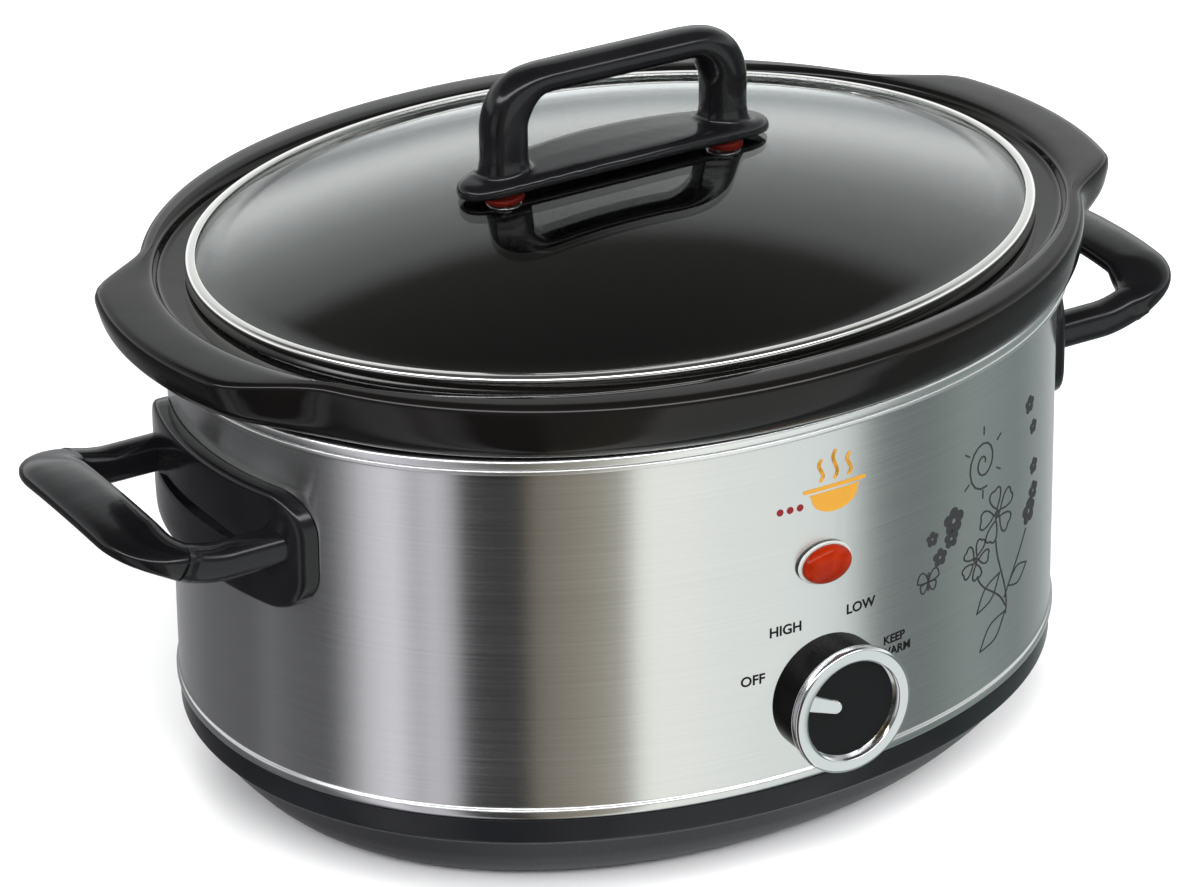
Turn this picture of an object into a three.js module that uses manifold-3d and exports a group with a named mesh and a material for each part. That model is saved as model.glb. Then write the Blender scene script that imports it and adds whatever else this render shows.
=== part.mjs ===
// An oval slow cooker: a heated steel base, a lift-out glazed crock and a glass lid.
// Millimetres, +Z up. The front, with its knob and lamp, faces -Y, and the origin lies
// on the table under the middle of the oval.

import * as THREE from 'three';
import { mergeVertices } from 'three/addons/utils/BufferGeometryUtils.js';
import Module from 'manifold-3d';

// ---------------------------------------------------------------- driving dimensions

const ovalStretch = 26.8;        // how much longer than wide each half of the oval is
const ovalPower = 2.08;          // 2 is a true ellipse, more is a squarer oval
const ovalSegments = 36;
const stretchRadius = 90;        // inside this half-width the stretch fades to nothing
const gap = 0.3;                 // between pieces that rest on each other

const footHeight = 3;
const skirtHalfWidth = 97.3;     // outline of the base on the table
const skirtStretch = 28.2;
const bandBottom = 24.4;         // the upright black band above the tapering skirt
const shellBottom = 32.6;
const shellTop = 149.2;
const shellBottomHalfWidth = 117.6;
const shellTopHalfWidth = 116.8;
const sheet = 0.9;               // thickness of the steel sheet
const rimHalfWidth = 119.6;      // rolled rim of the heating pan
const rimStretch = 27.8;
const rimTop = 152.8;
const rimHeight = 5.1;

const crockTop = 172.6;
const crockHalfWidth = 128.6;
const crockStretch = 22;
const crockPower = 2.05;
const seatStretch = 32.6;        // the lid seat is roomier at the ends than at the sides
const ledgeTop = 168.4;
const lipLength = 16.5;          // lifting lips at the two ends of the crock
const lipInner = 38;             // half-width of the full lip
const lipOuter = 60;             // half-width where the lip has faded into the rim

const lidStretch = 26.4;
const lidHalfWidth = 111.4;
const glassHalfWidth = 110.1;
const domeHalfWidth = 105;
const domeBase = 173.4;
const domeRise = 20.9;
const glassThickness = 4;

const lidFootSpacing = 78.4;
const lidBarHeight = 225.4;
const lidBarDepth = 13;

const knobHeight = 62;
const knobBack = -118.7;
const knobLength = 15.8;
const knobRadius = 19.2;
const bezelRadius = 20.5;
const offAngle = THREE.MathUtils.degToRad(157);
const shaftRadius = 3;

const lampHeight = 104.6;
const lampHalfHeight = 6.1;
const lampAspect = 1.39;

const handleHeight = 114.2;       // centre of the handle arms
const handleHalfSpacing = 38;
const gripHeight = 124;
const gripReach = 183.4;
const plateHalfWidth = 48.5;
const plateBottom = 93.5;
const plateTop = 131.5;
const plateThickness = 5;
const plateCorner = 13;

const panFloor = 40;
const panBottomHalfWidth = 92.3;
const panTopHalfWidth = 110.3;
const panWallBottom = 46;
const panWallTop = 146;

// -------------------------------------------------------------------------- materials

const steel = { color: 0xb9bbba, metalness: 1, roughness: 0.34 };
const brightSteel = { color: 0xd9dad8, metalness: 1, roughness: 0.15 };
const aluminised = { color: 0x9ea1a2, metalness: 1, roughness: 0.5 };
const chrome = { color: 0xe6e7e8, metalness: 1, roughness: 0.06 };
const glaze = { color: 0x0b0b0b, metalness: 0, roughness: 0.08 };
const glossBlack = { color: 0x101112, metalness: 0, roughness: 0.22 };
const satinBlack = { color: 0x1c1d1f, metalness: 0, roughness: 0.45 };
const rubber = { color: 0x1a1a1a, metalness: 0, roughness: 0.85 };
const glass = { color: 0xd6dedb, metalness: 0, roughness: 0.03, transparent: true, opacity: 0.3 };
const redSilicone = { color: 0xb5231a, metalness: 0, roughness: 0.5 };
const redLens = { color: 0xd2361c, metalness: 0, roughness: 0.15 };
const clearPlastic = { color: 0xe4e4de, metalness: 0, roughness: 0.2 };
const brass = { color: 0xb08d4c, metalness: 1, roughness: 0.35 };
const heaterMat = { color: 0xb7a98c, metalness: 0, roughness: 0.8 };
const whitePlastic = { color: 0xded9cc, metalness: 0, roughness: 0.5 };

// ------------------------------------------------------------------- solids and cuts

const wasm = await Module();
wasm.setup();

// Welds a geometry's corners, drops collapsed triangles and turns its faces outwards.
function closedBody(geometry) {
  const bare = geometry.clone();
  bare.deleteAttribute('normal');
  bare.deleteAttribute('uv');
  const welded = mergeVertices(bare, 1e-4);
  const source = welded.index.array;
  const corners = [0, 1, 2].map(() => new THREE.Vector3());
  const kept = [];
  let volume = 0;
  for (let i = 0; i < source.length; i += 3) {
    const [a, b, c] = [source[i], source[i + 1], source[i + 2]];
    if (a === b || b === c || c === a) continue;
    kept.push(a, b, c);
    [a, b, c].forEach((vertex, k) => corners[k].fromBufferAttribute(welded.attributes.position, vertex));
    volume += corners[0].dot(corners[1].cross(corners[2]));
  }
  welded.setIndex(volume < 0 ? kept.reverse() : kept);
  welded.computeVertexNormals();
  return welded;
}

function toSolid(geometry) {
  const body = closedBody(geometry);
  return new wasm.Manifold(new wasm.Mesh({
    numProp: 3,
    vertProperties: new Float32Array(body.attributes.position.array),
    triVerts: new Uint32Array(body.index.array),
  }));
}

function fromSolid(solid) {
  const mesh = solid.getMesh();
  const geometry = new THREE.BufferGeometry();
  geometry.setAttribute('position', new THREE.BufferAttribute(mesh.vertProperties, 3));
  geometry.setIndex(new THREE.BufferAttribute(mesh.triVerts, 1));
  geometry.computeVertexNormals();
  return geometry;
}

function cut(geometry, ...tools) {
  return fromSolid(tools.reduce((solid, tool) => solid.subtract(toSolid(tool)), toSolid(geometry)));
}

function join(geometry, ...others) {
  return fromSolid(others.reduce((solid, other) => solid.add(toSolid(other)), toSolid(geometry)));
}

function common(geometry, other) {
  return fromSolid(toSolid(geometry).intersect(toSolid(other)));
}

// -------------------------------------------------------------------- shape builders

const bulge = (value, power) => Math.sign(value) * Math.abs(value) ** (2 / power);

const lipFade = (y) => 1 - THREE.MathUtils.smoothstep(Math.abs(y), lipInner, lipOuter);

// A lathe stretched into an oval. A row is [half-width, height, stretch, lip share];
// a ring repeats its first row at the end.
function ovalSolid(rows, { segments = ovalSegments, power = ovalPower, fade = stretchRadius } = {}) {
  const outline = rows.map(([halfWidth, height]) => new THREE.Vector2(halfWidth, height));
  const geometry = new THREE.LatheGeometry(outline, segments);
  const position = geometry.attributes.position;
  for (let i = 0; i < position.count; i += 1) {
    const [halfWidth, height, stretch = ovalStretch, lip = 0] = rows[i % rows.length];
    const step = Math.floor(i / rows.length) % segments;
    const turn = (step / segments) * 2 * Math.PI;
    const halfLength = halfWidth + stretch * Math.min(1, halfWidth / fade);
    const y = -halfWidth * bulge(Math.cos(turn), power);
    const x = halfLength * bulge(Math.sin(turn), power);
    position.setXYZ(i, x + Math.sign(x) * lip * lipLength * lipFade(y), y, height);
  }
  return closedBody(geometry);
}

// A round turned piece: rows of [radius, distance along the axis], then placed.
function turned(rows, { segments = 16, axis = 'z', at = [0, 0, 0], aspect = 1 } = {}) {
  const outline = rows.map(([radius, along]) => new THREE.Vector2(radius, along));
  const geometry = new THREE.LatheGeometry(outline, segments);
  if (axis === 'z') geometry.rotateX(Math.PI / 2);
  if (axis === '-y') geometry.rotateX(Math.PI);
  if (axis === 'x') geometry.rotateZ(-Math.PI / 2);
  if (axis === '-x') geometry.rotateZ(Math.PI / 2);
  geometry.scale(axis === '-y' ? aspect : 1, 1, 1);
  geometry.translate(...at);
  return closedBody(geometry);
}

const rod = (radius, from, to, options) => turned([[0, from], [radius, from], [radius, to], [0, to]], options);

const closeRing = (rows) => [...rows, rows[0]];

function block(width, depth, height, x, y, z) {
  return new THREE.BoxGeometry(width, depth, height).translate(x, y, z);
}

function roundedRectangle(halfWidth, halfHeight, radius) {
  const shape = new THREE.Shape();
  shape.moveTo(-halfWidth + radius, -halfHeight);
  shape.absarc(halfWidth - radius, -halfHeight + radius, radius, -Math.PI / 2, 0);
  shape.absarc(halfWidth - radius, halfHeight - radius, radius, 0, Math.PI / 2);
  shape.absarc(-halfWidth + radius, halfHeight - radius, radius, Math.PI / 2, Math.PI);
  shape.absarc(-halfWidth + radius, -halfHeight + radius, radius, Math.PI, 1.5 * Math.PI);
  return shape;
}

// A bar along a curve. planeNormal is square to the plane that the bar bends in, and
// sectionAt gives its half-size across that plane's normal and along it at each point.
function bar(curve, planeNormal, sectionAt, { steps = 30, sides = 10, power = 2 } = {}) {
  const geometry = new THREE.CylinderGeometry(1, 1, 1, sides, steps);
  const position = geometry.attributes.position;
  for (let i = 0; i < position.count; i += 1) {
    const place = position.getY(i) + 0.5;
    const point = curve.getPointAt(place);
    const along = curve.getTangentAt(place);
    const across = new THREE.Vector3().crossVectors(along, planeNormal).normalize();
    const upright = new THREE.Vector3().crossVectors(across, along);
    const [halfAcross, halfUpright] = sectionAt(point);
    point.addScaledVector(across, halfAcross * bulge(position.getX(i), power));
    point.addScaledVector(upright, halfUpright * bulge(position.getZ(i), power));
    position.setXYZ(i, point.x, point.y, point.z);
  }
  return closedBody(geometry);
}

// Straight runs joined by rounded corners: corners[i] is [point, how far back it starts].
function roundedPath(start, corners, end) {
  const path = new THREE.CurvePath();
  let from = start;
  corners.forEach(([corner, reach], i) => {
    const next = i + 1 < corners.length ? corners[i + 1][0] : end;
    const before = corner.clone().addScaledVector(corner.clone().sub(from).normalize(), -reach);
    const after = corner.clone().addScaledVector(next.clone().sub(corner).normalize(), reach);
    path.add(new THREE.LineCurve3(from, before));
    path.add(new THREE.CubicBezierCurve3(
      before, before.clone().lerp(corner, 0.55), after.clone().lerp(corner, 0.55), after));
    from = after;
  });
  path.add(new THREE.LineCurve3(from, end));
  return path;
}

const model = new THREE.Group();

function add(name, geometry, finish) {
  const mesh = new THREE.Mesh(geometry, new THREE.MeshStandardMaterial(finish));
  mesh.name = name;
  model.add(mesh);
  return mesh;
}

// ------------------------------------------------------------------------- the shell

const shellHalfWidthAt = (z) => THREE.MathUtils.mapLinear(
  z, shellBottom, shellTop, shellBottomHalfWidth, shellTopHalfWidth);
const panHalfWidthAt = (z) => THREE.MathUtils.mapLinear(
  z, panWallBottom, panWallTop, panBottomHalfWidth, panTopHalfWidth);

const sides = [['left', -1], ['right', 1]];
const ends = [['front', -1], ['rear', 1]];

const switchHole = rod(5.2, 0, 12, { axis: '-y', at: [0, -112, knobHeight] });
const lampHole = rod(5.4, 0, 12, { axis: '-y', at: [0, -112, lampHeight], aspect: lampAspect });
const glandHeight = 52;
const glandHole = rod(6.3, 0, 14, { axis: '-y', at: [0, 125, glandHeight] });
const handleScrewHoles = sides.flatMap(([, side]) => ends.map(([, end]) => (
  rod(2.3, 0, 60, {
    axis: side > 0 ? 'x' : '-x',
    at: [side * 100, end * handleHalfSpacing, handleHeight],
    segments: 12,
  }))));

const beadDepth = 0.8;
const beadTop = 4;
const shellOuter = [
  [shellBottomHalfWidth - 0.2, shellBottom],
  [shellBottomHalfWidth + beadDepth, shellBottom + 1],
  [shellBottomHalfWidth + beadDepth, shellBottom + beadTop - 0.8],
  [shellHalfWidthAt(shellBottom + beadTop), shellBottom + beadTop],
  [shellTopHalfWidth, shellTop],
];
const shellInner = shellOuter.map(([halfWidth, z]) => [halfWidth - sheet, z]).reverse();
add('outer_shell', cut(
  ovalSolid(closeRing([...shellOuter, ...shellInner])),
  switchHole, lampHole, glandHole, ...handleScrewHoles,
), steel);

// ------------------------------------------------------------- heating pan and heater

add('heating_pan', ovalSolid([
  [0, panFloor],
  [panBottomHalfWidth - 6, panFloor],
  [panBottomHalfWidth, panWallBottom],
  [panTopHalfWidth, panWallTop],
  [panTopHalfWidth + 2.5, shellTop + gap],
  [rimHalfWidth - 1.1, shellTop + gap + 0.1, rimStretch],
  [rimHalfWidth - 0.9, rimTop - rimHeight, rimStretch],
  [rimHalfWidth, rimTop - rimHeight, rimStretch],
  [rimHalfWidth, rimTop - 1, rimStretch],
  [rimHalfWidth - 1.2, rimTop, rimStretch],
  [panTopHalfWidth + 3, rimTop - 0.4],
  [panTopHalfWidth + 0.9, shellTop + 0.1],
  [panTopHalfWidth - sheet, panWallTop],
  [panBottomHalfWidth - sheet, panWallBottom + 0.6],
  [panBottomHalfWidth - 6.6, panFloor + sheet],
  [0, panFloor + sheet],
]), aluminised);

const heaterBottom = 80;
const heaterTop = 118;
const heaterThickness = 2.6;
const heaterInside = (z) => panHalfWidthAt(z) + gap;
add('heater_band', ovalSolid(closeRing([
  [heaterInside(heaterBottom), heaterBottom],
  [heaterInside(heaterBottom) + heaterThickness, heaterBottom],
  [heaterInside(heaterTop) + heaterThickness, heaterTop],
  [heaterInside(heaterTop), heaterTop],
])), heaterMat);

const clampHeight = 99;
const clampFront = 107.4;
const clampDepth = 3;
add('band_clamp', block(22, clampDepth, 15, 0, clampFront + clampDepth / 2, clampHeight), steel);
add('clamp_screw', turned(
  [[0, -14], [1.7, -14], [1.7, 12], [2.6, 12], [2.6, 14.5], [0, 14.5]],
  { segments: 12, axis: 'x', at: [0, clampFront + clampDepth + 2, clampHeight] },
), brightSteel);

const fuseX = -45;
const fuseHeight = panFloor - 2.6;
add('thermal_fuse', rod(1.9, -8, 8, { segments: 12, axis: 'x', at: [fuseX, 8, fuseHeight] }), brightSteel);
add('fuse_clip', cut(
  block(8, 9, 5.6, fuseX, 8, panFloor - gap - 2.8),
  block(10, 5, 4.8, fuseX, 8, panFloor - gap - 2.2),
), steel);

// -------------------------------------------------------------------- base tray, feet

const footX = 84;
const footY = 48;
const trayFloor = footHeight + 2.6;
const studHoleRadius = 3.6;
const bandHalfWidth = shellBottomHalfWidth - 0.2;
const trayLip = 115.7;
const corners = sides.flatMap(([sideName, side]) => (
  ends.map(([endName, end]) => [`${endName}_${sideName}`, side * footX, end * footY])));
const ventXs = [-40, -28, -16, 16, 28, 40];
const vents = [-46, 46].flatMap((y) => ventXs.map((x) => block(3, 32, 8, x, y, footHeight)));

add('base_tray', cut(
  ovalSolid(closeRing([
    [studHoleRadius, 9],
    [12, 9],
    [13, footHeight],
    [skirtHalfWidth - 3.5, footHeight, skirtStretch],
    [skirtHalfWidth, footHeight + 0.5, skirtStretch],
    [skirtHalfWidth + 10, 13.2, 27.4],
    [bandHalfWidth - 1.6, bandBottom - 0.6],
    [bandHalfWidth, bandBottom],
    [bandHalfWidth, shellBottom - gap],
    [trayLip, shellBottom - gap],
    [trayLip, shellBottom + 6],
    [trayLip - 2, shellBottom + 6],
    [trayLip - 2, bandBottom + 0.6],
    [skirtHalfWidth - 3, trayFloor, skirtStretch],
    [15, trayFloor],
    [14, 11.4],
    [studHoleRadius, 11.4],
  ])),
  ...vents,
  ...corners.map(([, x, y]) => rod(3.2, 0, 8, { segments: 12, at: [x, y, 0] })),
), satinBlack);

corners.forEach(([place, x, y]) => {
  add(`foot_${place}`, turned(
    [[0, 0], [7.6, 0], [8.4, 1], [8, footHeight - gap], [2.9, footHeight - gap],
      [2.9, trayFloor + gap], [3.8, trayFloor + gap], [2.4, trayFloor + 2.6], [0, trayFloor + 2.6]],
    { segments: 12, at: [x, y, 0] },
  ), rubber);
});

add('pan_stud', turned(
  [[0, 4.4], [3, 4.4], [3, panFloor - 2], [10, panFloor - 1.6], [10, panFloor - gap], [0, panFloor - gap]],
), brightSteel);
add('stud_washer', turned(closeRing([[3.4, 7.7], [8.5, 7.7], [8.5, 8.7], [3.4, 8.7]])), brightSteel);
add('stud_nut', turned(closeRing([[3.7, 4.2], [6.4, 4.2], [6.4, 7.4], [3.7, 7.4]]), { segments: 6 }), brightSteel);

// -------------------------------------------------------------- switch, knob and lamp

const switchFront = -115;
const switchDepth = 13;
add('rotary_switch', cut(
  join(
    block(26, switchDepth, 24, 0, switchFront + switchDepth / 2, knobHeight),
    rod(4.8, -1, 6, { axis: '-y', at: [0, switchFront, knobHeight] }),
    ...[-6, 0, 6].map((x) => block(3, 0.8, 8, x, -109, knobHeight - 15)),
  ),
  rod(shaftRadius + gap, -12, 8, { axis: '-y', at: [0, switchFront, knobHeight] }),
), whitePlastic);
add('switch_nut', turned(
  closeRing([[5.8, 0], [9, 0], [9, 2.2], [5.8, 2.2]]),
  { segments: 6, axis: '-y', at: [0, -117.9, knobHeight] },
), brightSteel);

// The knob turns with the switch shaft. Its rows run from its back towards its front.
const onKnob = { segments: 24, axis: '-y', at: [0, knobBack, knobHeight] };
const knobSeat = knobLength - 4;
const faceRadius = 15.6;
add('switch_shaft', rod(shaftRadius, -14, knobSeat - gap, { ...onKnob, segments: 16 }), brass);
add('knob_body', turned(closeRing([
  [shaftRadius + gap, 3.4],
  [6, 3.4],
  [6, knobSeat - 2.2],
  [knobRadius - 2.2, knobSeat - 2.2],
  [knobRadius - 1.8, 0],
  [knobRadius - 0.3, 0],
  [knobRadius, knobSeat],
  [shaftRadius + gap, knobSeat],
]), onKnob), glossBlack);
add('knob_face', rod(faceRadius, knobSeat + gap, knobSeat + 1.5, onKnob), satinBlack);

const pointer = new THREE.Shape();
pointer.moveTo(bezelRadius - 2, -2.6);
pointer.lineTo(bezelRadius - 2, 2.6);
pointer.lineTo(6.5, 1.9);
pointer.absarc(6.5, 0, 1.9, Math.PI / 2, 1.5 * Math.PI);
const pointerBar = new THREE.ExtrudeGeometry(pointer, { depth: 1.6, bevelEnabled: false, curveSegments: 8 });
pointerBar.translate(0, 0, knobSeat + 1.5 + gap);
pointerBar.rotateZ(offAngle);
pointerBar.rotateX(Math.PI / 2);
pointerBar.translate(...onKnob.at);
add('knob_bezel', join(turned(closeRing([
  [faceRadius + gap, knobSeat + gap],
  [bezelRadius - 0.4, knobSeat + gap],
  [bezelRadius, knobSeat + 1.2],
  [bezelRadius - 0.5, knobLength - 0.5],
  [bezelRadius - 1.4, knobLength],
  [faceRadius + 0.8, knobLength - 0.3],
  [faceRadius + gap, knobLength - 1],
]), onKnob), pointerBar), chrome);

const onLamp = { segments: 16, axis: '-y', at: [0, -117.4, lampHeight], aspect: lampAspect };
add('lamp_bezel', turned(closeRing([
  [4.5, -2.4],
  [5.1, -2.4],
  [5.1, 0.3],
  [lampHalfHeight + 0.7, 0.3],
  [lampHalfHeight + 0.6, 1],
  [4.5, 1],
]), onLamp), clearPlastic);
add('lamp_lens', turned([
  [0, -3],
  [4.2, -3],
  [4.2, 1.3],
  [lampHalfHeight, 1.3],
  [lampHalfHeight, 2],
  [lampHalfHeight * 0.85, 3.3],
  [lampHalfHeight * 0.6, 4.2],
  [lampHalfHeight * 0.3, 4.7],
  [0, 4.9],
], onLamp), redLens);
add('neon_lamp', rod(2.2, 0, 5.4, { segments: 12, axis: '-y', at: [0, -108.3, lampHeight] }), clearPlastic);

// ------------------------------------------------------------------------ side handles

const plateGuard = 1;
const plateRing = ovalSolid(closeRing([
  [shellHalfWidthAt(plateBottom - plateGuard) + gap, plateBottom - plateGuard],
  [shellHalfWidthAt(plateBottom - plateGuard) + plateThickness, plateBottom - plateGuard],
  [shellHalfWidthAt(plateTop + plateGuard) + plateThickness, plateTop + plateGuard],
  [shellHalfWidthAt(plateTop + plateGuard) + gap, plateTop + plateGuard],
]));
const bodyBlock = ovalSolid([
  [0, plateBottom - 10],
  [shellHalfWidthAt(plateBottom - 10) + plateThickness + gap, plateBottom - 10],
  [shellHalfWidthAt(plateTop + 10) + plateThickness + gap, plateTop + 10],
  [0, plateTop + 10],
]);
const plateMiddle = (plateBottom + plateTop) / 2;
const plateOutline = roundedRectangle(plateHalfWidth, (plateTop - plateBottom) / 2, plateCorner);

const armHalf = 5.7;
const gripHalfWidth = 10.2;
const gripHalfHeight = 3.9;
const handlePath = (side) => {
  const at = (x, y, z) => new THREE.Vector3(side * x, y, z);
  return roundedPath(
    at(130, -handleHalfSpacing, handleHeight),
    [
      [at(166, -handleHalfSpacing, handleHeight), 8],
      [at(gripReach - 1, -handleHalfSpacing + 1, gripHeight - 2), 14],
      [at(gripReach, -12, gripHeight), 8],
      [at(gripReach, 12, gripHeight), 8],
      [at(gripReach - 1, handleHalfSpacing - 1, gripHeight - 2), 14],
      [at(166, handleHalfSpacing, handleHeight), 8],
    ],
    at(130, handleHalfSpacing, handleHeight),
  );
};
// Round arms that flatten into a wide grip.
const handleSection = (point) => {
  const share = THREE.MathUtils.smoothstep(Math.abs(point.x), 168, gripReach - 1);
  return [
    THREE.MathUtils.lerp(armHalf - 0.2, gripHalfWidth, share),
    THREE.MathUtils.lerp(armHalf, gripHalfHeight, share),
  ];
};

sides.forEach(([name, side]) => {
  const outline = new THREE.ExtrudeGeometry(plateOutline, { depth: 70, bevelEnabled: false, curveSegments: 5 });
  outline.rotateX(Math.PI / 2).rotateZ(Math.PI / 2);
  outline.translate(side > 0 ? 100 : -170, 0, plateMiddle);
  add(`handle_plate_${name}`, cut(common(plateRing, outline), ...handleScrewHoles), glossBlack);
  const up = new THREE.Vector3(0, 0, 1);
  const loop = bar(handlePath(side), up, handleSection, { steps: 30, sides: 10, power: 2.3 });
  const screwBores = ends.map(([, end]) => rod(2.2, 0, 22, {
    axis: side > 0 ? 'x' : '-x',
    at: [side * 138, end * handleHalfSpacing, handleHeight],
    segments: 12,
  }));
  add(`side_handle_${name}`, cut(loop, bodyBlock, ...screwBores), glossBlack);
  ends.forEach(([endName, end]) => {
    add(`handle_screw_${endName}_${name}`, turned(
      [[0, 0], [3.4, 0], [3.6, 2], [1.9, 2.2], [1.9, 25], [0, 26]],
      {
        segments: 10,
        axis: side > 0 ? 'x' : '-x',
        at: [side * 131.4, end * handleHalfSpacing, handleHeight],
      },
    ), brightSteel);
  });
});

// ------------------------------------------------------------- wiring inside the base

const terminal = { x: 45, y: 40, bottom: trayFloor + gap, height: 14 };
add('terminal_block', block(
  28, 16, terminal.height, terminal.x, terminal.y, terminal.bottom + terminal.height / 2,
), whitePlastic);

add('cord_gland', turned(closeRing([
  [3.8, -12.2],
  [5.4, -12.2],
  [7.6, -2.6],
  [9, -2.6],
  [9, 0],
  [5.9, 0],
  [5.9, 2.4],
  [8, 2.6],
  [8, 4.4],
  [3.8, 4.4],
]), { axis: '-y', at: [0, 117.8, glandHeight], segments: 14 }), satinBlack);

const leadRadius = 1.3;
const leadSection = new THREE.Shape().absarc(0, 0, leadRadius, 0, 2 * Math.PI);
function lead(name, points, color) {
  const route = new THREE.CatmullRomCurve3(points.map(([x, y, z]) => new THREE.Vector3(x, y, z)));
  add(name, closedBody(new THREE.ExtrudeGeometry(leadSection, {
    extrudePath: route, steps: 12, curveSegments: 2, bevelEnabled: false,
  })), { color, metalness: 0, roughness: 0.6 });
}
lead('lead_to_switch', [
  [36, 30, 14], [30, 0, 14], [22, -50, 16], [13, -90, 24], [6, -107, 33], [6, -109, 41]], 0x7a4a2a);
lead('lead_to_heater', [
  [-6, -109, 41], [-10, -105, 31], [-42, -78, 18], [-64, 0, 16],
  [-46, 72, 20], [-21, 104, 42], [-16, 109, 62], [-15, 110, 88]], 0x8f2f25);
lead('lead_return', [
  [52, 50, 14], [46, 70, 18], [25, 99, 36], [17, 109, 60], [15, 110, 88]], 0x2f4f8f);
lead('lead_earth', [[30, 43, 15], [21, 31, 22], [14, 18, 30], [10, 12, 35]], 0x5f8a3a);

// -------------------------------------------------------------------------- the crock

add('crock', ovalSolid([
  [0, 43],
  [80, 43],
  [86, 45.5],
  [88.6, 51],
  [106.2, 145],
  [108.4, rimTop - 1.4, 27.5],
  [112.5, rimTop + gap + 0.4, 27],
  [119.4, rimTop + gap + 0.4, 26, 0.05],
  [121.9, rimTop + 1.4, 25, 0.12],
  [125.8, rimTop + 4, 23, 0.4],
  [127.9, rimTop + 8, crockStretch, 0.85],
  [crockHalfWidth, rimTop + 12.7, crockStretch, 1],
  [crockHalfWidth - 1, crockTop - 2.8, crockStretch, 1],
  [crockHalfWidth - 3.8, crockTop - 0.3, crockStretch + 1, 0.92],
  [118.6, crockTop, 31, 0.1],
  [116, crockTop - 0.6, seatStretch],
  [114.4, crockTop - 2.2, seatStretch],
  [113.8, ledgeTop, seatStretch],
  [106.6, ledgeTop - 0.2, 28],
  [103.6, ledgeTop - 3, 27],
  [101.8, 156],
  [83.5, 58],
  [79.5, 52.5],
  [71, 50.4],
  [0, 50],
], { segments: 44, power: crockPower }), glaze);

// ---------------------------------------------------------------------------- the lid

const onLid = { power: 2, fade: domeHalfWidth };
const domeTop = (x, y) => {
  const share = Math.hypot(x / (domeHalfWidth + lidStretch), y / domeHalfWidth);
  return domeBase + domeRise * (1 - share ** 2);
};
const domeSteps = [0, 28, 56, 82, domeHalfWidth];
const lidRow = ([halfWidth, z]) => [halfWidth, z, lidStretch];
const domeOutside = domeSteps.map((halfWidth) => [halfWidth, domeTop(0, halfWidth)]);
const domeInside = domeOutside.map(([halfWidth, z]) => [halfWidth, z - glassThickness]);
const glassBody = ovalSolid([
  ...domeInside,
  [glassHalfWidth, domeBase - glassThickness],
  [glassHalfWidth, domeBase],
  ...[...domeOutside].reverse(),
].map(lidRow), onLid);
const lidScrewHoles = [-1, 1].map((side) => (
  rod(2.7, 160, 210, { segments: 12, at: [side * lidFootSpacing / 2, 0, 0] })));
add('lid_glass', cut(glassBody, ...lidScrewHoles), glass);

add('lid_rim', ovalSolid(closeRing([
  [108.6, ledgeTop + gap],
  [lidHalfWidth - 0.5, ledgeTop + gap],
  [lidHalfWidth, ledgeTop + 1],
  [lidHalfWidth, domeBase + 0.4],
  [lidHalfWidth - 0.5, domeBase + 1],
  [108, domeBase + 1],
  [108, domeBase + gap],
  [lidHalfWidth - 0.9, domeBase + gap],
  [lidHalfWidth - 0.9, domeBase - glassThickness - gap],
  [108.6, domeBase - glassThickness - gap],
].map(lidRow)), onLid), brightSteel);

// The handle is one moulding: a loop on an eye-shaped base that follows the dome.
const lidPlateThickness = 4.4;
const lidPlateGap = 0.7;
const eye = new THREE.Shape();
const eyeReach = 47.5;
const eyeTip = 8;
eye.moveTo(-eyeReach, -eyeTip);
eye.quadraticCurveTo(0, -20, eyeReach, -eyeTip);
eye.absarc(eyeReach, 0, eyeTip, -Math.PI / 2, Math.PI / 2);
eye.quadraticCurveTo(0, 20, -eyeReach, eyeTip);
eye.absarc(-eyeReach, 0, eyeTip, Math.PI / 2, 1.5 * Math.PI);
const plateRows = domeOutside.filter(([halfWidth]) => halfWidth < 60);
const lidPlate = common(
  ovalSolid([
    ...plateRows.map(([halfWidth, z]) => [halfWidth, z + lidPlateGap]),
    ...plateRows.map(([halfWidth, z]) => [halfWidth, z + lidPlateGap + lidPlateThickness]).reverse(),
  ].map(lidRow), onLid),
  new THREE.ExtrudeGeometry(eye, { depth: 60, bevelEnabled: false, curveSegments: 8 }).translate(0, 0, 160),
);

const footHalf = lidFootSpacing / 2;
const footBottom = domeTop(footHalf, 0) + lidPlateGap + 2;
const lidBarPath = roundedPath(
  new THREE.Vector3(-footHalf, 0, footBottom),
  [
    [new THREE.Vector3(-footHalf, 0, lidBarHeight), 13],
    [new THREE.Vector3(footHalf, 0, lidBarHeight), 13],
  ],
  new THREE.Vector3(footHalf, 0, footBottom),
);
// Legs are wider than the bar, and flare a little where they meet the base.
const lidBarSection = (point) => {
  const leg = THREE.MathUtils.smoothstep(Math.abs(point.x), footHalf - 13, footHalf - 1);
  const flare = 1 - THREE.MathUtils.smoothstep(point.z, footBottom, footBottom + 9);
  return [THREE.MathUtils.lerp(4.6, 7.4, leg) + flare, lidBarDepth / 2 + flare];
};
const lidLoop = bar(lidBarPath, new THREE.Vector3(0, 1, 0), lidBarSection, { steps: 28, sides: 10, power: 2.3 });
const lidBores = [-1, 1].map((side) => (
  rod(2.3, 180, footBottom + 14, { segments: 12, at: [side * footHalf, 0, 0] })));
add('lid_handle', cut(join(lidLoop, lidPlate), ...lidBores), glossBlack);

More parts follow.
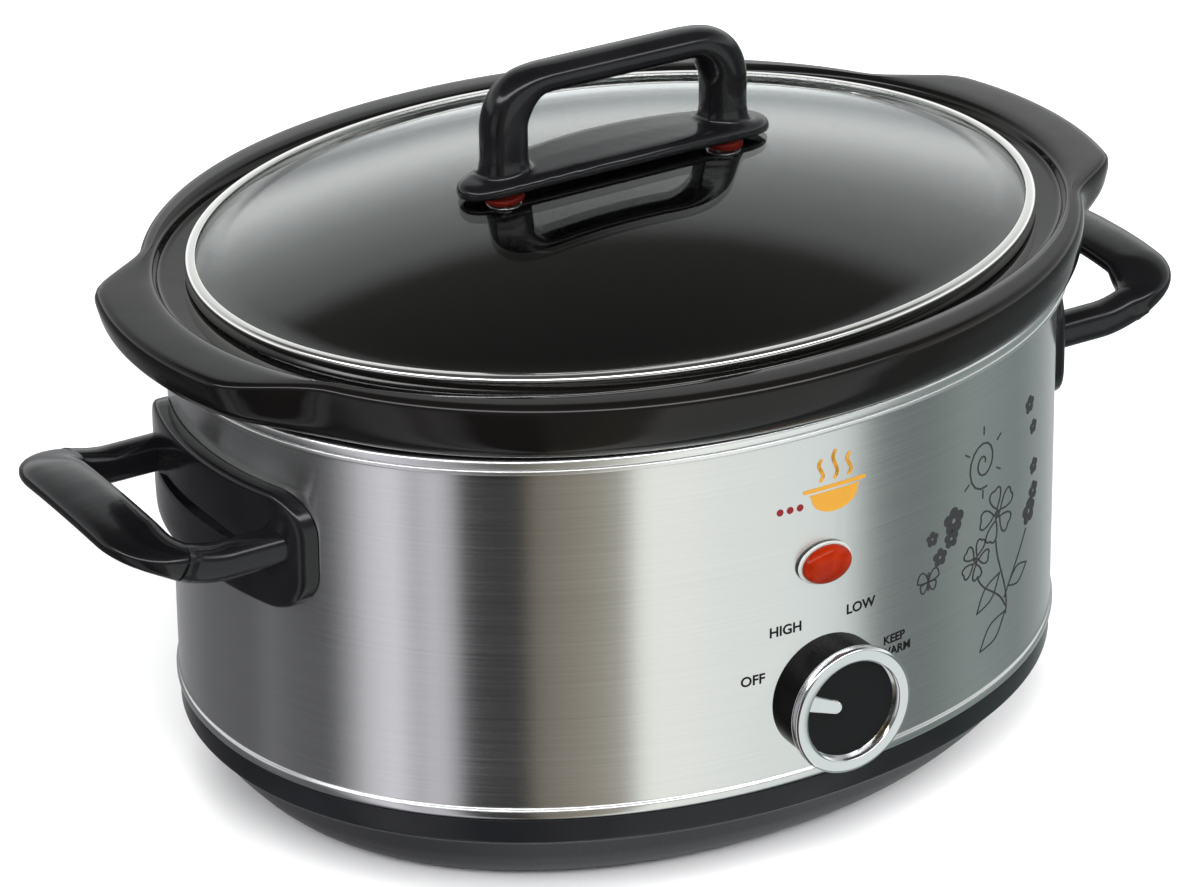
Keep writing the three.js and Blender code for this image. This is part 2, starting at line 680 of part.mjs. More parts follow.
const glassUnderFoot = domeTop(footHalf, 0) - glassThickness;
const slope = Math.atan(2 * domeRise * footHalf / (domeHalfWidth + lidStretch) ** 2);
sides.forEach(([name, side]) => {
  const seal = add(`lid_seal_${name}`, turned(
    closeRing([[2.7, -2.3], [6.1, -2.3], [6.3, -1.2], [5.9, -gap], [2.7, -gap]])), redSilicone);
  seal.position.set(side * footHalf, 0, glassUnderFoot - gap);
  seal.rotation.y = side * slope;
  const under = { at: [side * footHalf, 0, glassUnderFoot] };
  add(`lid_washer_${name}`, turned(closeRing([[2.5, -4.6], [5.4, -4.6], [5.4, -3.6], [2.5, -3.6]]), under), brightSteel);
  add(`lid_screw_${name}`, turned([
    [0, -7.6], [2.6, -7.4], [4, -6.4], [4.2, -4.9], [1.9, -4.9], [1.9, 16], [0, 17],
  ], { ...under, segments: 16 }), brightSteel);
});

export default model;
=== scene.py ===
import math

import bmesh
import bpy
from mathutils import Matrix, Vector


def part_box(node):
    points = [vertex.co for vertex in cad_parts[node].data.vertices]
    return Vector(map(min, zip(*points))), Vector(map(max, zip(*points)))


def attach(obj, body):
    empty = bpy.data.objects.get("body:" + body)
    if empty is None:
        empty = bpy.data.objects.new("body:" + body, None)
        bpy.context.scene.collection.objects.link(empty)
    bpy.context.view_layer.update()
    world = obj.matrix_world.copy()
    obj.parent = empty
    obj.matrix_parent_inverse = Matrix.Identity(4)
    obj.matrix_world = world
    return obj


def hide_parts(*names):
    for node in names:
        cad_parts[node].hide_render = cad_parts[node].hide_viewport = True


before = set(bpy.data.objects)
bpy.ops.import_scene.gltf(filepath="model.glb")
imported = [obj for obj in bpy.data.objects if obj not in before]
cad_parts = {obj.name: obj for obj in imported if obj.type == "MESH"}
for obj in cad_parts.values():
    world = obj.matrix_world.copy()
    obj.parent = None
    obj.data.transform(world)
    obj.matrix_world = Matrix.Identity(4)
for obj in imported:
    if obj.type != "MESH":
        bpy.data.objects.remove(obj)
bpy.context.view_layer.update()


# ---------------------------------------------------------------------------- camera
# A long lens from the left of the front, looking down a little, with a small roll. The
# place is given across, up and back from a point just over the table.
view_azimuth = math.radians(-30.90)
view_elevation = math.radians(25.88)
view_roll = math.radians(-0.68)
view_offset = (-0.0093, 0.0832, 1.661)
focal_share = 5149 / 1182

back = Vector((math.sin(view_azimuth) * math.cos(view_elevation),
               -math.cos(view_azimuth) * math.cos(view_elevation),
               math.sin(view_elevation)))
level = Vector((math.cos(view_azimuth), math.sin(view_azimuth), 0))
rise = back.cross(level)
across = level * math.cos(view_roll) + rise * math.sin(view_roll)
upward = rise * math.cos(view_roll) - level * math.sin(view_roll)
aim_height = 0.003
camera_data = bpy.data.cameras.new("camera")
camera_data.sensor_width = 36
camera_data.lens = 36 * focal_share
camera = bpy.data.objects.new("camera", camera_data)
camera.matrix_world = Matrix((across, upward, back)).transposed().to_4x4()
camera.location = (across * view_offset[0] + upward * view_offset[1] + back * view_offset[2]
                   + Vector((0, 0, aim_height)))
bpy.context.scene.collection.objects.link(camera)
bpy.context.scene.camera = camera


# ------------------------------------------------------------------ studio and floor
# A pale sweep of floor and a soft room round it. The room is a ring of upright panels,
# light and dark by turns, which is what bright metal needs to show its shape.
class Wire:
    """One socket of a finish's nodes, with arithmetic that adds Math nodes."""

    def __init__(self, finish, socket):
        self.finish = finish
        self.socket = socket

    def maths(self, operation, *values):
        return self.finish.node("ShaderNodeMath", {"operation": operation}, dict(enumerate(values)))

    def __add__(self, other):
        return self.maths("ADD", self, other)

    def __sub__(self, other):
        return self.maths("SUBTRACT", self, other)

    def __rsub__(self, other):
        return self.maths("SUBTRACT", other, self)

    def __mul__(self, other):
        return self.maths("MULTIPLY", self, other)

    __radd__ = __add__
    __rmul__ = __mul__


class Finish:
    """A material. Constants sit on its shader's sockets, and node() adds what varies."""

    def __init__(self, name, owner=None, **constants):
        if owner is None:
            owner = bpy.data.materials.new(name)
        owner.use_nodes = True
        self.owner = owner
        self.tree = owner.node_tree
        self.shader = self.tree.nodes.get("Principled BSDF")
        for socket, value in constants.items():
            self.shader.inputs[socket.replace("_", " ")].default_value = value

    def node(self, kind, settings=None, inputs=None, output=0):
        made = self.tree.nodes.new(kind)
        for key, value in (settings or {}).items():
            if key == "stops":
                self.set_stops(made.color_ramp, value)
            else:
                setattr(made, key, value)
        for key, value in (inputs or {}).items():
            if isinstance(value, Wire):
                self.tree.links.new(value.socket, made.inputs[key])
            else:
                made.inputs[key].default_value = value
        return Wire(self, made.outputs[output])

    def set_stops(self, ramp, stops):
        while len(ramp.elements) < len(stops):
            ramp.elements.new(1)
        for element, (position, color) in zip(ramp.elements, stops):
            element.position = position
            element.color = (*color, 1)

    def feed(self, socket, wire):
        self.tree.links.new(wire.socket, self.shader.inputs[socket])

    def place(self, scale, location=(0, 0, 0)):
        here = self.node("ShaderNodeTexCoord", output="Object")
        return self.node("ShaderNodeMapping", {}, {"Vector": here, "Scale": scale, "Location": location})

    def noise(self, scale, detail=2, stretch=(1, 1, 1), roughness=0.5):
        return self.node("ShaderNodeTexNoise", {}, {
            "Vector": self.place(stretch), "Scale": scale, "Detail": detail, "Roughness": roughness})

    def spread(self, wire, low, high):
        return self.node("ShaderNodeMapRange", {}, {0: wire, 1: 0.3, 2: 0.7, 3: low, 4: high})

    def blend(self, share, first, second):
        return self.node("ShaderNodeMix", {"data_type": "RGBA"}, {
            0: share, 6: (*first, 1), 7: (*second, 1)}, output=2)

    def tint(self, wire, first, second):
        self.feed("Base Color", self.blend(self.spread(wire, 0, 1), first, second))

    def satin(self, scale, low, high, detail=2):
        self.feed("Roughness", self.spread(self.noise(scale, detail), low, high))

    def bump(self, height, depth):
        self.feed("Normal", self.node("ShaderNodeBump", {}, {
            "Strength": 1, "Distance": depth, "Height": height}))


room = bpy.data.worlds.new("soft_room")
bpy.context.scene.world = room
bpy.context.scene.view_settings.view_transform = "Standard"
panels = [
    (-180, (0.27, 0.27, 0.28)), (-168, (0.21, 0.21, 0.22)), (-155, (0.14, 0.14, 0.15)),
    (-128, (0.115, 0.115, 0.12)), (-121, (0.19, 0.19, 0.20)), (-112, (0.13, 0.13, 0.135)),
    (-94, (0.105, 0.105, 0.11)), (-87, (0.34, 0.34, 0.35)), (-80, (0.72, 0.71, 0.76)),
    (-70, (0.90, 0.88, 0.95)), (-64, (0.48, 0.47, 0.50)), (-58, (0.74, 0.72, 0.78)),
    (-53, (0.50, 0.49, 0.52)), (-49, (0.020, 0.020, 0.019)), (-34, (0.018, 0.018, 0.017)),
    (-30, (0.20, 0.175, 0.14)), (-15, (0.34, 0.31, 0.25)), (-9, (0.40, 0.39, 0.35)),
    (-5, (1.14, 1.16, 1.09)), (14, (1.02, 1.05, 1.02)), (38, (0.95, 1.02, 1.0)),
    (44, (0.22, 0.25, 0.245)), (56, (0.17, 0.195, 0.195)), (72, (0.29, 0.34, 0.325)),
    (96, (0.22, 0.26, 0.26)), (112, (0.36, 0.39, 0.39)), (132, (0.60, 0.62, 0.63)),
    (148, (0.62, 0.65, 0.66)), (165, (0.40, 0.40, 0.41)), (180, (0.27, 0.27, 0.28))]
studio = Finish("studio", owner=room)
facing = studio.node("ShaderNodeSeparateXYZ", {}, {
    0: studio.node("ShaderNodeTexCoord", output="Generated")}, output="X")
facing_y = Wire(studio, facing.socket.node.outputs["Y"])
facing_z = Wire(studio, facing.socket.node.outputs["Z"])
turn = facing.maths("ARCTAN2", facing, facing_y * -1) * (0.5 / math.pi) + 0.5
ring = studio.node("ShaderNodeValToRGB", {
    "stops": [((azimuth + 180) / 360, color) for azimuth, color in panels]}, {0: turn})
# Overhead it is bright low down behind the cooker and dim at the top, with a low strong
# window on the camera's side.
behind = studio.node("ShaderNodeValToRGB", {"stops": [
    (0.0, (1.6, 1.62, 1.62)), (0.26, (1.3, 1.32, 1.32)), (0.44, (0.75, 0.77, 0.77)),
    (0.63, (0.50, 0.51, 0.51)),
    (0.70, (0.12, 0.12, 0.11)), (1.0, (0.06, 0.06, 0.06))]}, {0: facing_z})
before = studio.node("ShaderNodeValToRGB", {"stops": [
    (0.0, (0.24, 0.25, 0.25)), (0.46, (0.20, 0.21, 0.21)), (0.50, (7.0, 7.0, 7.2)), (0.62, (7.0, 7.0, 7.2)),
    (0.66, (0.3, 0.3, 0.3)), (1.0, (0.10, 0.10, 0.10))]}, {0: facing_z})
camera_side = facing * back.x + facing_y * back.y
share_before = studio.node("ShaderNodeMapRange", {"interpolation_type": "SMOOTHSTEP"}, {
    0: camera_side, 1: 0.05, 2: 0.45, 3: 0.0, 4: 1.0})
overhead = studio.node("ShaderNodeMix", {"data_type": "RGBA"}, {
    0: share_before, 6: behind, 7: before}, output=2)
share_up = studio.node("ShaderNodeMapRange", {"interpolation_type": "SMOOTHSTEP"}, {
    0: facing_z, 1: 0.0, 2: 0.22, 3: 0.0, 4: 1.0})
walls = studio.node("ShaderNodeMix", {"data_type": "RGBA"}, {
    0: share_up, 6: ring, 7: overhead}, output=2)
seen_direct = studio.node("ShaderNodeLightPath", output="Is Camera Ray")
backdrop = studio.node("ShaderNodeMix", {"data_type": "RGBA"}, {
    0: seen_direct, 6: walls, 7: (1.0, 1.0, 1.0, 1)}, output=2)
studio.tree.links.new(backdrop.socket, studio.tree.nodes["Background"].inputs["Color"])

floor_finish = Finish("pale_floor", Base_Color=(0.86, 0.86, 0.86, 1), Roughness=0.9)
floor_mesh = bpy.data.meshes.new("floor")
floor_mesh.from_pydata([(-9, -9, 0), (9, -9, 0), (9, 9, 0), (-9, 9, 0)], [], [(0, 1, 2, 3)])
floor_mesh.materials.append(floor_finish.owner)
floor = bpy.data.objects.new("floor", floor_mesh)
floor.visible_glossy = False
bpy.context.scene.collection.objects.link(floor)


def soft_light(name, place, size, power, color=(1, 1, 1)):
    data = bpy.data.lights.new(name, "AREA")
    data.size = size
    data.energy = power
    data.color = color
    light = bpy.data.objects.new(name, data)
    light.location = place
    light.rotation_euler = (Vector((0, 0, 0.1)) - Vector(place)).to_track_quat("-Z", "Y").to_euler()
    light.visible_camera = False
    light.visible_glossy = False
    light.visible_transmission = False
    bpy.context.scene.collection.objects.link(light)


soft_light("key_light", (-0.9, -1.3, 2.1), 1.5, 62)
soft_light("fill_light", (1.6, -0.9, 1.5), 1.4, 36)
soft_light("back_light", (0.4, 1.9, 1.7), 1.2, 34)


# ------------------------------------------------------------------------- the shell
# An oval wall of horizontally brushed stainless sheet. A bead is rolled into its bottom
# edge, and the holes for the switch, the lamp, the cord and the handle screws are cut.
mm = 0.001
turns = 256
oval_power = 2.08
stretch_full = 90


def bulge(value, power):
    return math.copysign(abs(value) ** (2 / power), value)


def rounded(rows, closed=True, steps=6):
    """Rounds an outline's corners. A row's third value is how far back its corner starts."""
    outline = []
    for i, row in enumerate(rows):
        here = Vector(row[:2] + row[3:]) if len(row) > 2 else Vector(row)
        inner = closed or 0 < i < len(rows) - 1
        if len(row) < 3 or row[2] == 0 or not inner:
            outline.append(tuple(here))
            continue
        sides = []
        for other in (rows[i - 1], rows[(i + 1) % len(rows)]):
            there = Vector(other[:2] + other[3:])
            apart = (Vector(there[:2]) - Vector(here[:2])).length
            sides.append(here.lerp(there, min(row[2] / apart, 0.5)))
        for step in range(steps + 1):
            share = step / steps
            outline.append(tuple(sides[0].lerp(here, share).lerp(here.lerp(sides[1], share), share)))
    return outline


def shade(mesh, crease=32):
    """Smooth but for edges sharper than the crease, in degrees."""
    mesh.shade_smooth()
    mesh.set_sharp_from_angle(angle=math.radians(crease))


def finished(name, mesh, finish, crease=32):
    """A named object for a mesh: welded, faces out, smooth but for its real edges."""
    work = bmesh.new()
    work.from_mesh(mesh)
    bmesh.ops.remove_doubles(work, verts=work.verts, dist=1e-6)
    bmesh.ops.dissolve_degenerate(work, edges=work.edges, dist=1e-7)
    bmesh.ops.recalc_face_normals(work, faces=work.faces)
    work.to_mesh(mesh)
    work.free()
    shade(mesh, crease)
    mesh.materials.clear()
    mesh.materials.append(finish.owner)
    piece = bpy.data.objects.new(name, mesh)
    bpy.context.scene.collection.objects.link(piece)
    return piece


def mesh_of(points, faces):
    mesh = bpy.data.meshes.new("piece")
    mesh.from_pydata([tuple(value * mm for value in point) for point in points], [], faces)
    return mesh


def loft(rings, closed):
    """Faces between rings of equal length, each ring joined to the next round a turn."""
    count = len(rings[0])
    points = [point for ring in rings for point in ring]
    last = count if closed else count - 1
    faces = []
    for i in range(len(rings)):
        following = (i + 1) % len(rings)
        for j in range(last):
            beside = (j + 1) % count
            faces.append((i * count + j, following * count + j,
                          following * count + beside, i * count + beside))
    return mesh_of(points, faces)


def oval_mesh(rows, stretch, power=oval_power, fade=stretch_full, closed=True, lip=None):
    """A lathe pulled into an oval. A row is half-width, height, extra stretch, lip share."""
    rings = []
    for step in range(turns):
        angle = 2 * math.pi * step / turns
        side = bulge(math.sin(angle), power)
        front = bulge(math.cos(angle), power)
        ring = []
        for row in rows:
            half_width, height = row[:2]
            more = row[2] if len(row) > 2 else 0
            y = -half_width * front
            x = (half_width + (stretch + more) * min(1, half_width / fade)) * side
            if lip and len(row) > 3:
                x += math.copysign(row[3] * lip(y), x) if x else 0
            ring.append((x, y, height))
        rings.append(ring)
    return loft(rings, closed)


def turned_mesh(rows, axis="Z", at=(0, 0, 0), aspect=1, closed=True, sides=96):
    """A lathe. A row is radius and distance along the axis: Z, or -Y out of the front."""
    rings = []
    for step in range(sides):
        angle = 2 * math.pi * step / sides
        ring = []
        for radius, along in (row[:2] for row in rows):
            a, b = radius * math.cos(angle), radius * math.sin(angle)
            local = {"Z": (a, b, along), "-Y": (a * aspect, -along, b),
                     "X": (along, a, b), "-X": (-along, a, b)}[axis]
            ring.append(tuple(p + q for p, q in zip(local, at)))
        rings.append(ring)
    return loft(rings, closed)


def cut_away(piece, tools):
    """Cuts each tool mesh out of a piece."""
    for tool_mesh in tools:
        tool = finished("tool", tool_mesh, floor_finish)
        modifier = piece.modifiers.new("cut", "BOOLEAN")
        modifier.operation = "DIFFERENCE"
        modifier.solver = "EXACT"
        modifier.object = tool
        settle(piece)
        bpy.data.objects.remove(tool)
    shade(piece.data)


def settle(piece):
    """Turns a piece's modifiers into plain mesh."""
    evaluated = piece.evaluated_get(bpy.context.evaluated_depsgraph_get())
    piece.data = bpy.data.meshes.new_from_object(evaluated)
    piece.modifiers.clear()


def rod(radius, start, end, axis, at, aspect=1):
    return turned_mesh([(0, start), (radius, start), (radius, end), (0, end)], axis, at, aspect, False, 48)


def stands_for(piece, slot, body, *nodes):
    """Gives a piece its body and hides the nodes it replaces. The slot argument is not used."""
    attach(piece, body)
    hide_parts(*nodes)


def size_mm(node):
    return [[value / mm for value in corner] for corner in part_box(node)]


shell_low, shell_high = size_mm("outer_shell")
bead_depth = 0.8
bead_height = 4
shell_bottom_half = shell_high[1] - bead_depth
shell_top_half = shell_bottom_half - 0.8
shell_stretch = shell_high[0] - shell_high[1]
shell_bottom, shell_top = shell_low[2], shell_high[2]
sheet = 0.9
knob_z = sum(corner[2] for corner in size_mm("knob_body")) / 2
lamp_z = sum(corner[2] for corner in size_mm("lamp_lens")) / 2
gland_z = sum(corner[2] for corner in size_mm("cord_gland")) / 2
lamp_aspect = 1.39


def shell_half(z):
    share = (z - shell_bottom) / (shell_top - shell_bottom)
    return shell_bottom_half + (shell_top_half - shell_bottom_half) * share


def shell_x(y, z, proud=0):
    half = shell_half(z) + proud
    reach = half + shell_stretch
    return reach * max(0, 1 - (abs(y) / half) ** oval_power) ** (1 / oval_power)


def shell_y(x, z, proud=0):
    half = shell_half(z) + proud
    reach = half + shell_stretch
    return -half * max(0, 1 - (abs(x) / reach) ** oval_power) ** (1 / oval_power)


brushed = Finish("brushed_steel", Metallic=1, Anisotropic=0.9, Anisotropic_Rotation=0.25)
long_lines = brushed.noise(1, 4, (7, 7, 2600))
fine_lines = brushed.noise(1, 3, (24, 24, 5200))
clouding = brushed.noise(14, 3)
grain = long_lines * 0.6 + fine_lines * 0.4
brushed.tint(grain, (0.655, 0.66, 0.655), (0.715, 0.72, 0.715))
brushed.feed("Roughness", brushed.spread(grain, 0.19, 0.25) + brushed.spread(clouding, -0.015, 0.015))
brushed.bump(grain, 0.000004)

wall = rounded([
    (shell_bottom_half - sheet, shell_bottom, 0.3), (shell_bottom_half - 0.2, shell_bottom, 0.3),
    (shell_bottom_half + bead_depth, shell_bottom + 0.9, 0.8),
    (shell_bottom_half + bead_depth, shell_bottom + bead_height - 0.8, 0.8),
    (shell_half(shell_bottom + bead_height), shell_bottom + bead_height, 0.5),
    (shell_half(90), 90), (shell_top_half, shell_top), (shell_top_half - sheet, shell_top),
    (shell_bottom_half - sheet, shell_bottom + bead_height)])
shell = finished("shell_wall", oval_mesh(wall, shell_stretch), brushed)
handle_z = sum(corner[2] for corner in size_mm("handle_screw_front_left")) / 2
handle_y = sum(corner[1] for corner in size_mm("handle_screw_rear_left")) / 2
cut_away(shell, [
    rod(5.2, 0, 14, "-Y", (0, -110, knob_z)),
    rod(5.4, 0, 14, "-Y", (0, -110, lamp_z), lamp_aspect),
    rod(6.3, 0, 14, "-Y", (0, 125, gland_z)),
    *[rod(2.3, 100, 160, axis, (0, y, handle_z)) for axis in ("X", "-X") for y in (-handle_y, handle_y)]])
stands_for(shell, "shell_steel", "base", "outer_shell")


# ------------------------------------------------------------------ printed markings
# Thin ink on the steel: the four settings round the knob, a small pot with steam over
# the lamp, and a grey sprig of flowers on the right of the front.
ink_lift = 0.02
ink_depth = 0.05
ink_step = 1.5


def printed(name, flat, finish):
    """Wraps a flat drawing, x and z in millimetres, onto the front of the shell."""
    left, right = (pick(vertex.co.x for vertex in flat.verts) for pick in (min, max))
    for step in range(1, int((right - left) / ink_step) + 1):
        parts = list(flat.verts) + list(flat.edges) + list(flat.faces)
        bmesh.ops.bisect_plane(flat, geom=parts, plane_co=(left + step * ink_step, 0, 0), plane_no=(1, 0, 0))
    bmesh.ops.triangulate(flat, faces=flat.faces)
    made = bmesh.ops.extrude_face_region(flat, geom=list(flat.faces))
    top = {item for item in made["geom"] if isinstance(item, bmesh.types.BMVert)}
    for vertex in flat.verts:
        x, z = vertex.co.x, vertex.co.y
        proud = ink_lift + (ink_depth if vertex in top else 0)
        vertex.co = (x * mm, shell_y(x, z, proud) * mm, z * mm)
    mesh = bpy.data.meshes.new(name)
    flat.to_mesh(mesh)
    flat.free()
    piece = finished(name, mesh, finish)
    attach(piece, "base")
    return piece


def add_polygon(flat, points):
    flat.faces.new([flat.verts.new((x, z, 0)) for x, z in points])


def add_stroke(flat, points, width):
    """A line of even width with round ends."""
    half = width / 2
    for (x0, z0), (x1, z1) in zip(points, points[1:]):
        length = math.hypot(x1 - x0, z1 - z0)
        dx, dz = (x1 - x0) / length * half, (z1 - z0) / length * half
        turn_start = math.atan2(dx, -dz)
        around = [(x0 + half * math.cos(turn_start + math.pi * k / 4),
                   z0 + half * math.sin(turn_start + math.pi * k / 4)) for k in range(5)]
        around += [(x1 + half * math.cos(turn_start + math.pi + math.pi * k / 4),
                    z1 + half * math.sin(turn_start + math.pi + math.pi * k / 4)) for k in range(5)]
        add_polygon(flat, around)


def curve_points(start, control_a, control_b, end, steps=10):
    points = []
    for k in range(steps + 1):
        t = k / steps
        points.append(tuple(
            (1 - t) ** 3 * p + 3 * (1 - t) ** 2 * t * q + 3 * (1 - t) * t ** 2 * r + t ** 3 * s
            for p, q, r, s in zip(start, control_a, control_b, end)))
    return points


dark_ink = Finish("dark_ink", Base_Color=(0.004, 0.004, 0.004, 1), Specular_IOR_Level=0.15)
dark_ink.satin(900, 0.45, 0.65)
grey_ink = Finish("grey_ink", Base_Color=(0.022, 0.023, 0.024, 1), Specular_IOR_Level=0.2)
grey_ink.satin(900, 0.5, 0.7)
amber_ink = Finish("amber_ink", Base_Color=(0.42, 0.205, 0.02, 1), Specular_IOR_Level=0.2)
amber_ink.satin(700, 0.4, 0.6)
red_ink = Finish("red_ink", Base_Color=(0.15, 0.008, 0.008, 1), Specular_IOR_Level=0.2)
red_ink.satin(700, 0.4, 0.6)

legend_size = 4.6
small_share = 0.86
legends = [("OFF", -24.0, 70.7), ("HIGH", -13.0, 85.1), ("LOW", 13.8, 85.8), ("KEEP", 27.0, 70.6),
           ("WARM", 27.6, 66.4)]
for word, x, z in legends:
    text = bpy.data.curves.new("legend", "FONT")
    text.body = word
    text.size = legend_size if word in ("OFF", "HIGH", "LOW") else legend_size * small_share
    text.align_x = "CENTER"
    text.align_y = "CENTER"
    text.offset = 0.1
    text.resolution_u = 4
    holder = bpy.data.objects.new("legend", text)
    bpy.context.scene.collection.objects.link(holder)
    flat_text = bmesh.new()
    evaluated = holder.evaluated_get(bpy.context.evaluated_depsgraph_get())
    flat_text.from_mesh(bpy.data.meshes.new_from_object(evaluated))
    bpy.data.objects.remove(holder)
    bmesh.ops.translate(flat_text, verts=flat_text.verts, vec=(x, z, 0))
    printed(f"legend_{word.lower()}", flat_text, dark_ink)

pot = bmesh.new()
pot_x, pot_z = 4, 121
add_polygon(pot, [(pot_x - 9, pot_z + 6.4), *curve_points(
    (pot_x - 8.4, pot_z + 5.4), (pot_x - 8, pot_z - 2.6), (pot_x + 8, pot_z - 2.6),
    (pot_x + 8.4, pot_z + 5.4)), (pot_x + 9, pot_z + 6.4)])
add_stroke(pot, [(pot_x - 10.6, pot_z + 7.8), (pot_x + 10.6, pot_z + 7.8)], 1.3)
for offset, height in ((-5, 6.5), (0, 8.6), (5, 6.5)):
    foot_x, foot_z = pot_x + offset, pot_z + 10.4
    add_stroke(pot, curve_points((foot_x, foot_z), (foot_x + 2.6, foot_z + height * 0.35),
                                 (foot_x - 2.6, foot_z + height * 0.65), (foot_x, foot_z + height)), 1.25)
printed("pot_mark", pot, amber_ink)
dots = bmesh.new()
dot_x, dot_z, dot_pitch, dot_radius = -15, 124.4, 3.4, 1.15
for place in range(3):
    add_polygon(dots, [(dot_x + place * dot_pitch + dot_radius * math.cos(math.pi * k / 8),
                        dot_z + dot_radius * math.sin(math.pi * k / 8)) for k in range(16)])
printed("dot_marks", dots, red_ink)

sprig = bmesh.new()
petal_line, sun_line, ray_line, stem_line, leaf_line, wing_line = 0.58, 0.62, 0.55, 0.6, 0.55, 0.5
sun_x, sun_z, sun_tall = 66, 115, 1.15
moth_x, moth_z = 41, 84.5


def add_blossom(x, z, radius, petals=5):
    """A small solid flower: petals round a clear eye."""
    for k in range(petals):
        heading = math.pi / 2 + 2 * math.pi * k / petals
        centre = (x + radius * 0.58 * math.cos(heading), z + radius * 0.58 * math.sin(heading))
        add_polygon(sprig, [(centre[0] + radius * 0.42 * math.cos(math.pi * j / 7),
                             centre[1] + radius * 0.42 * math.sin(math.pi * j / 7)) for j in range(14)])


def add_open_flower(x, z, radius, tilt, petals=5):
    """A large flower in outline."""
    for k in range(petals):
        heading = tilt + 2 * math.pi * k / petals
        petal = [(x + radius * reach * math.cos(heading + swing),
                  z + radius * reach * math.sin(heading + swing))
                 for reach, swing in ((0.22, 0), (0.95, -0.62), (1.25, -0.30), (1.0, 0),
                                      (1.25, 0.30), (0.95, 0.62), (0.22, 0))]
        add_stroke(sprig, curve_points(*petal[:4]) + curve_points(*petal[3:])[1:], petal_line)
    add_blossom(x, z, radius * 0.2)


sun = [(sun_x + (0.8 + 0.62 * k / 2.4) * math.cos(k / 2.4),
        sun_z + (0.8 + 0.62 * k / 2.4) * sun_tall * math.sin(k / 2.4)) for k in range(28)]
add_stroke(sprig, sun, sun_line)
for k in range(6):
    heading = math.pi / 2 + math.pi * k / 3
    add_stroke(sprig, [(sun_x + reach * math.cos(heading), sun_z + reach * sun_tall * math.sin(heading))
                       for reach in (8.2, 10.4)], ray_line)
for x, z, radius in ((52, 101, 4.6), (51, 95.4, 3.2), (42.5, 98.4, 2.6), (46, 91, 3.1), (93, 122, 3.0),
                     (96, 113, 2.5), (97, 99, 2.8), (94, 85, 4.4), (97, 90.5, 3.3)):
    add_blossom(x, z, radius)
add_open_flower(74, 94, 8.6, 0.5)
add_open_flower(63, 83, 6.4, 1.1)
for stem in (((73.5, 85), (74, 76), (82, 66), (80, 57)), ((64, 77), (66, 70), (76, 68), (79.5, 60)),
             ((79, 63), (84, 70), (88, 74), (92, 80))):
    add_stroke(sprig, curve_points(*stem, steps=14), stem_line)
for base, tip, width in (((76, 73), (64, 64), 4), ((81, 66), (93, 68), 4), ((79.5, 58), (66, 50), 4.4)):
    middle = [(base[0] + tip[0]) / 2, (base[1] + tip[1]) / 2]
    out = Vector((tip[1] - base[1], base[0] - tip[0])).normalized() * width
    for side in (-1, 1):
        bend = (middle[0] + side * out.x, middle[1] + side * out.y)
        add_stroke(sprig, curve_points(base, bend, bend, tip), leaf_line)
for side in (-1, 1):
    for drop, reach in ((2.6, 4.6), (-2.2, 3.4)):
        wing_tip = (moth_x + side * reach, moth_z + drop * 0.3)
        add_stroke(sprig, curve_points((moth_x, moth_z), (moth_x + side * 1.2, moth_z + drop * 2),
                                       (moth_x + side * reach, moth_z + drop * 1.8), wing_tip), wing_line)
        add_stroke(sprig, curve_points(wing_tip, (moth_x + side * reach * 0.8, moth_z),
                                       (moth_x + side, moth_z), (moth_x, moth_z)), wing_line)
add_stroke(sprig, [(moth_x, moth_z - 2.7), (moth_x, moth_z + 2.9)], 0.8)
printed("flower_sprig", sprig, grey_ink)


# ---------------------------------------------------------------- heating pan and rim
# A pressed steel well that the crock stands in. Its mouth is rolled over the top of the
# shell in two soft steps, which show as the bright double rim.
pan_low, pan_high = size_mm("heating_pan")
rim_half = pan_high[1]
rim_more = (pan_high[0] - pan_high[1]) - shell_stretch
pan_floor, rim_top = pan_low[2], pan_high[2]
pan_steel = Finish("pan_steel", Metallic=1)
pan_lines = pan_steel.noise(1, 3, (20, 20, 900))
pan_steel.tint(pan_lines, (0.74, 0.745, 0.74), (0.86, 0.865, 0.86))
pan_steel.feed("Roughness", pan_steel.spread(pan_lines, 0.27, 0.33)
               + pan_steel.spread(pan_steel.noise(40), -0.02, 0.03))
pan_steel.bump(pan_lines, 0.00001)
pan_rows = rounded([
    (0, pan_floor, 0, 0), (86.3, pan_floor, 3, 0), (92.3, 46, 3, 0), (110.3, 146, 2, 0),
    (112.8, shell_top + 0.3, 1, 0), (rim_half - 1.1, shell_top + 0.4, 0.4, rim_more),
    (rim_half - 1.0, rim_top - 5.0, 0.2, rim_more), (rim_half, rim_top - 4.9, 0.9, rim_more),
    (rim_half, rim_top - 3.3, 0.8, rim_more), (rim_half - 1.0, rim_top - 3.2, 0.15, rim_more),
    (rim_half - 0.1, rim_top - 3.1, 0.8, rim_more), (rim_half - 0.1, rim_top, 2.2, rim_more),
    (rim_half - 3.2, rim_top, 0.7, rim_more),
    (rim_half - 4.1, rim_top - 0.75, 0.4, rim_more * 0.6), (112.8, rim_top - 0.5, 1.2, 0),
    (111.2, shell_top + 0.1, 1, 0), (109.4, 146, 2, 0), (91.4, 46.6, 3, 0), (85.7, pan_floor + sheet, 3, 0),
    (0, pan_floor + sheet, 0, 0)], closed=False)
pan = finished("pan_well", oval_mesh(pan_rows, shell_stretch, closed=False), pan_steel)
stands_for(pan, "pan_steel", "base", "heating_pan")


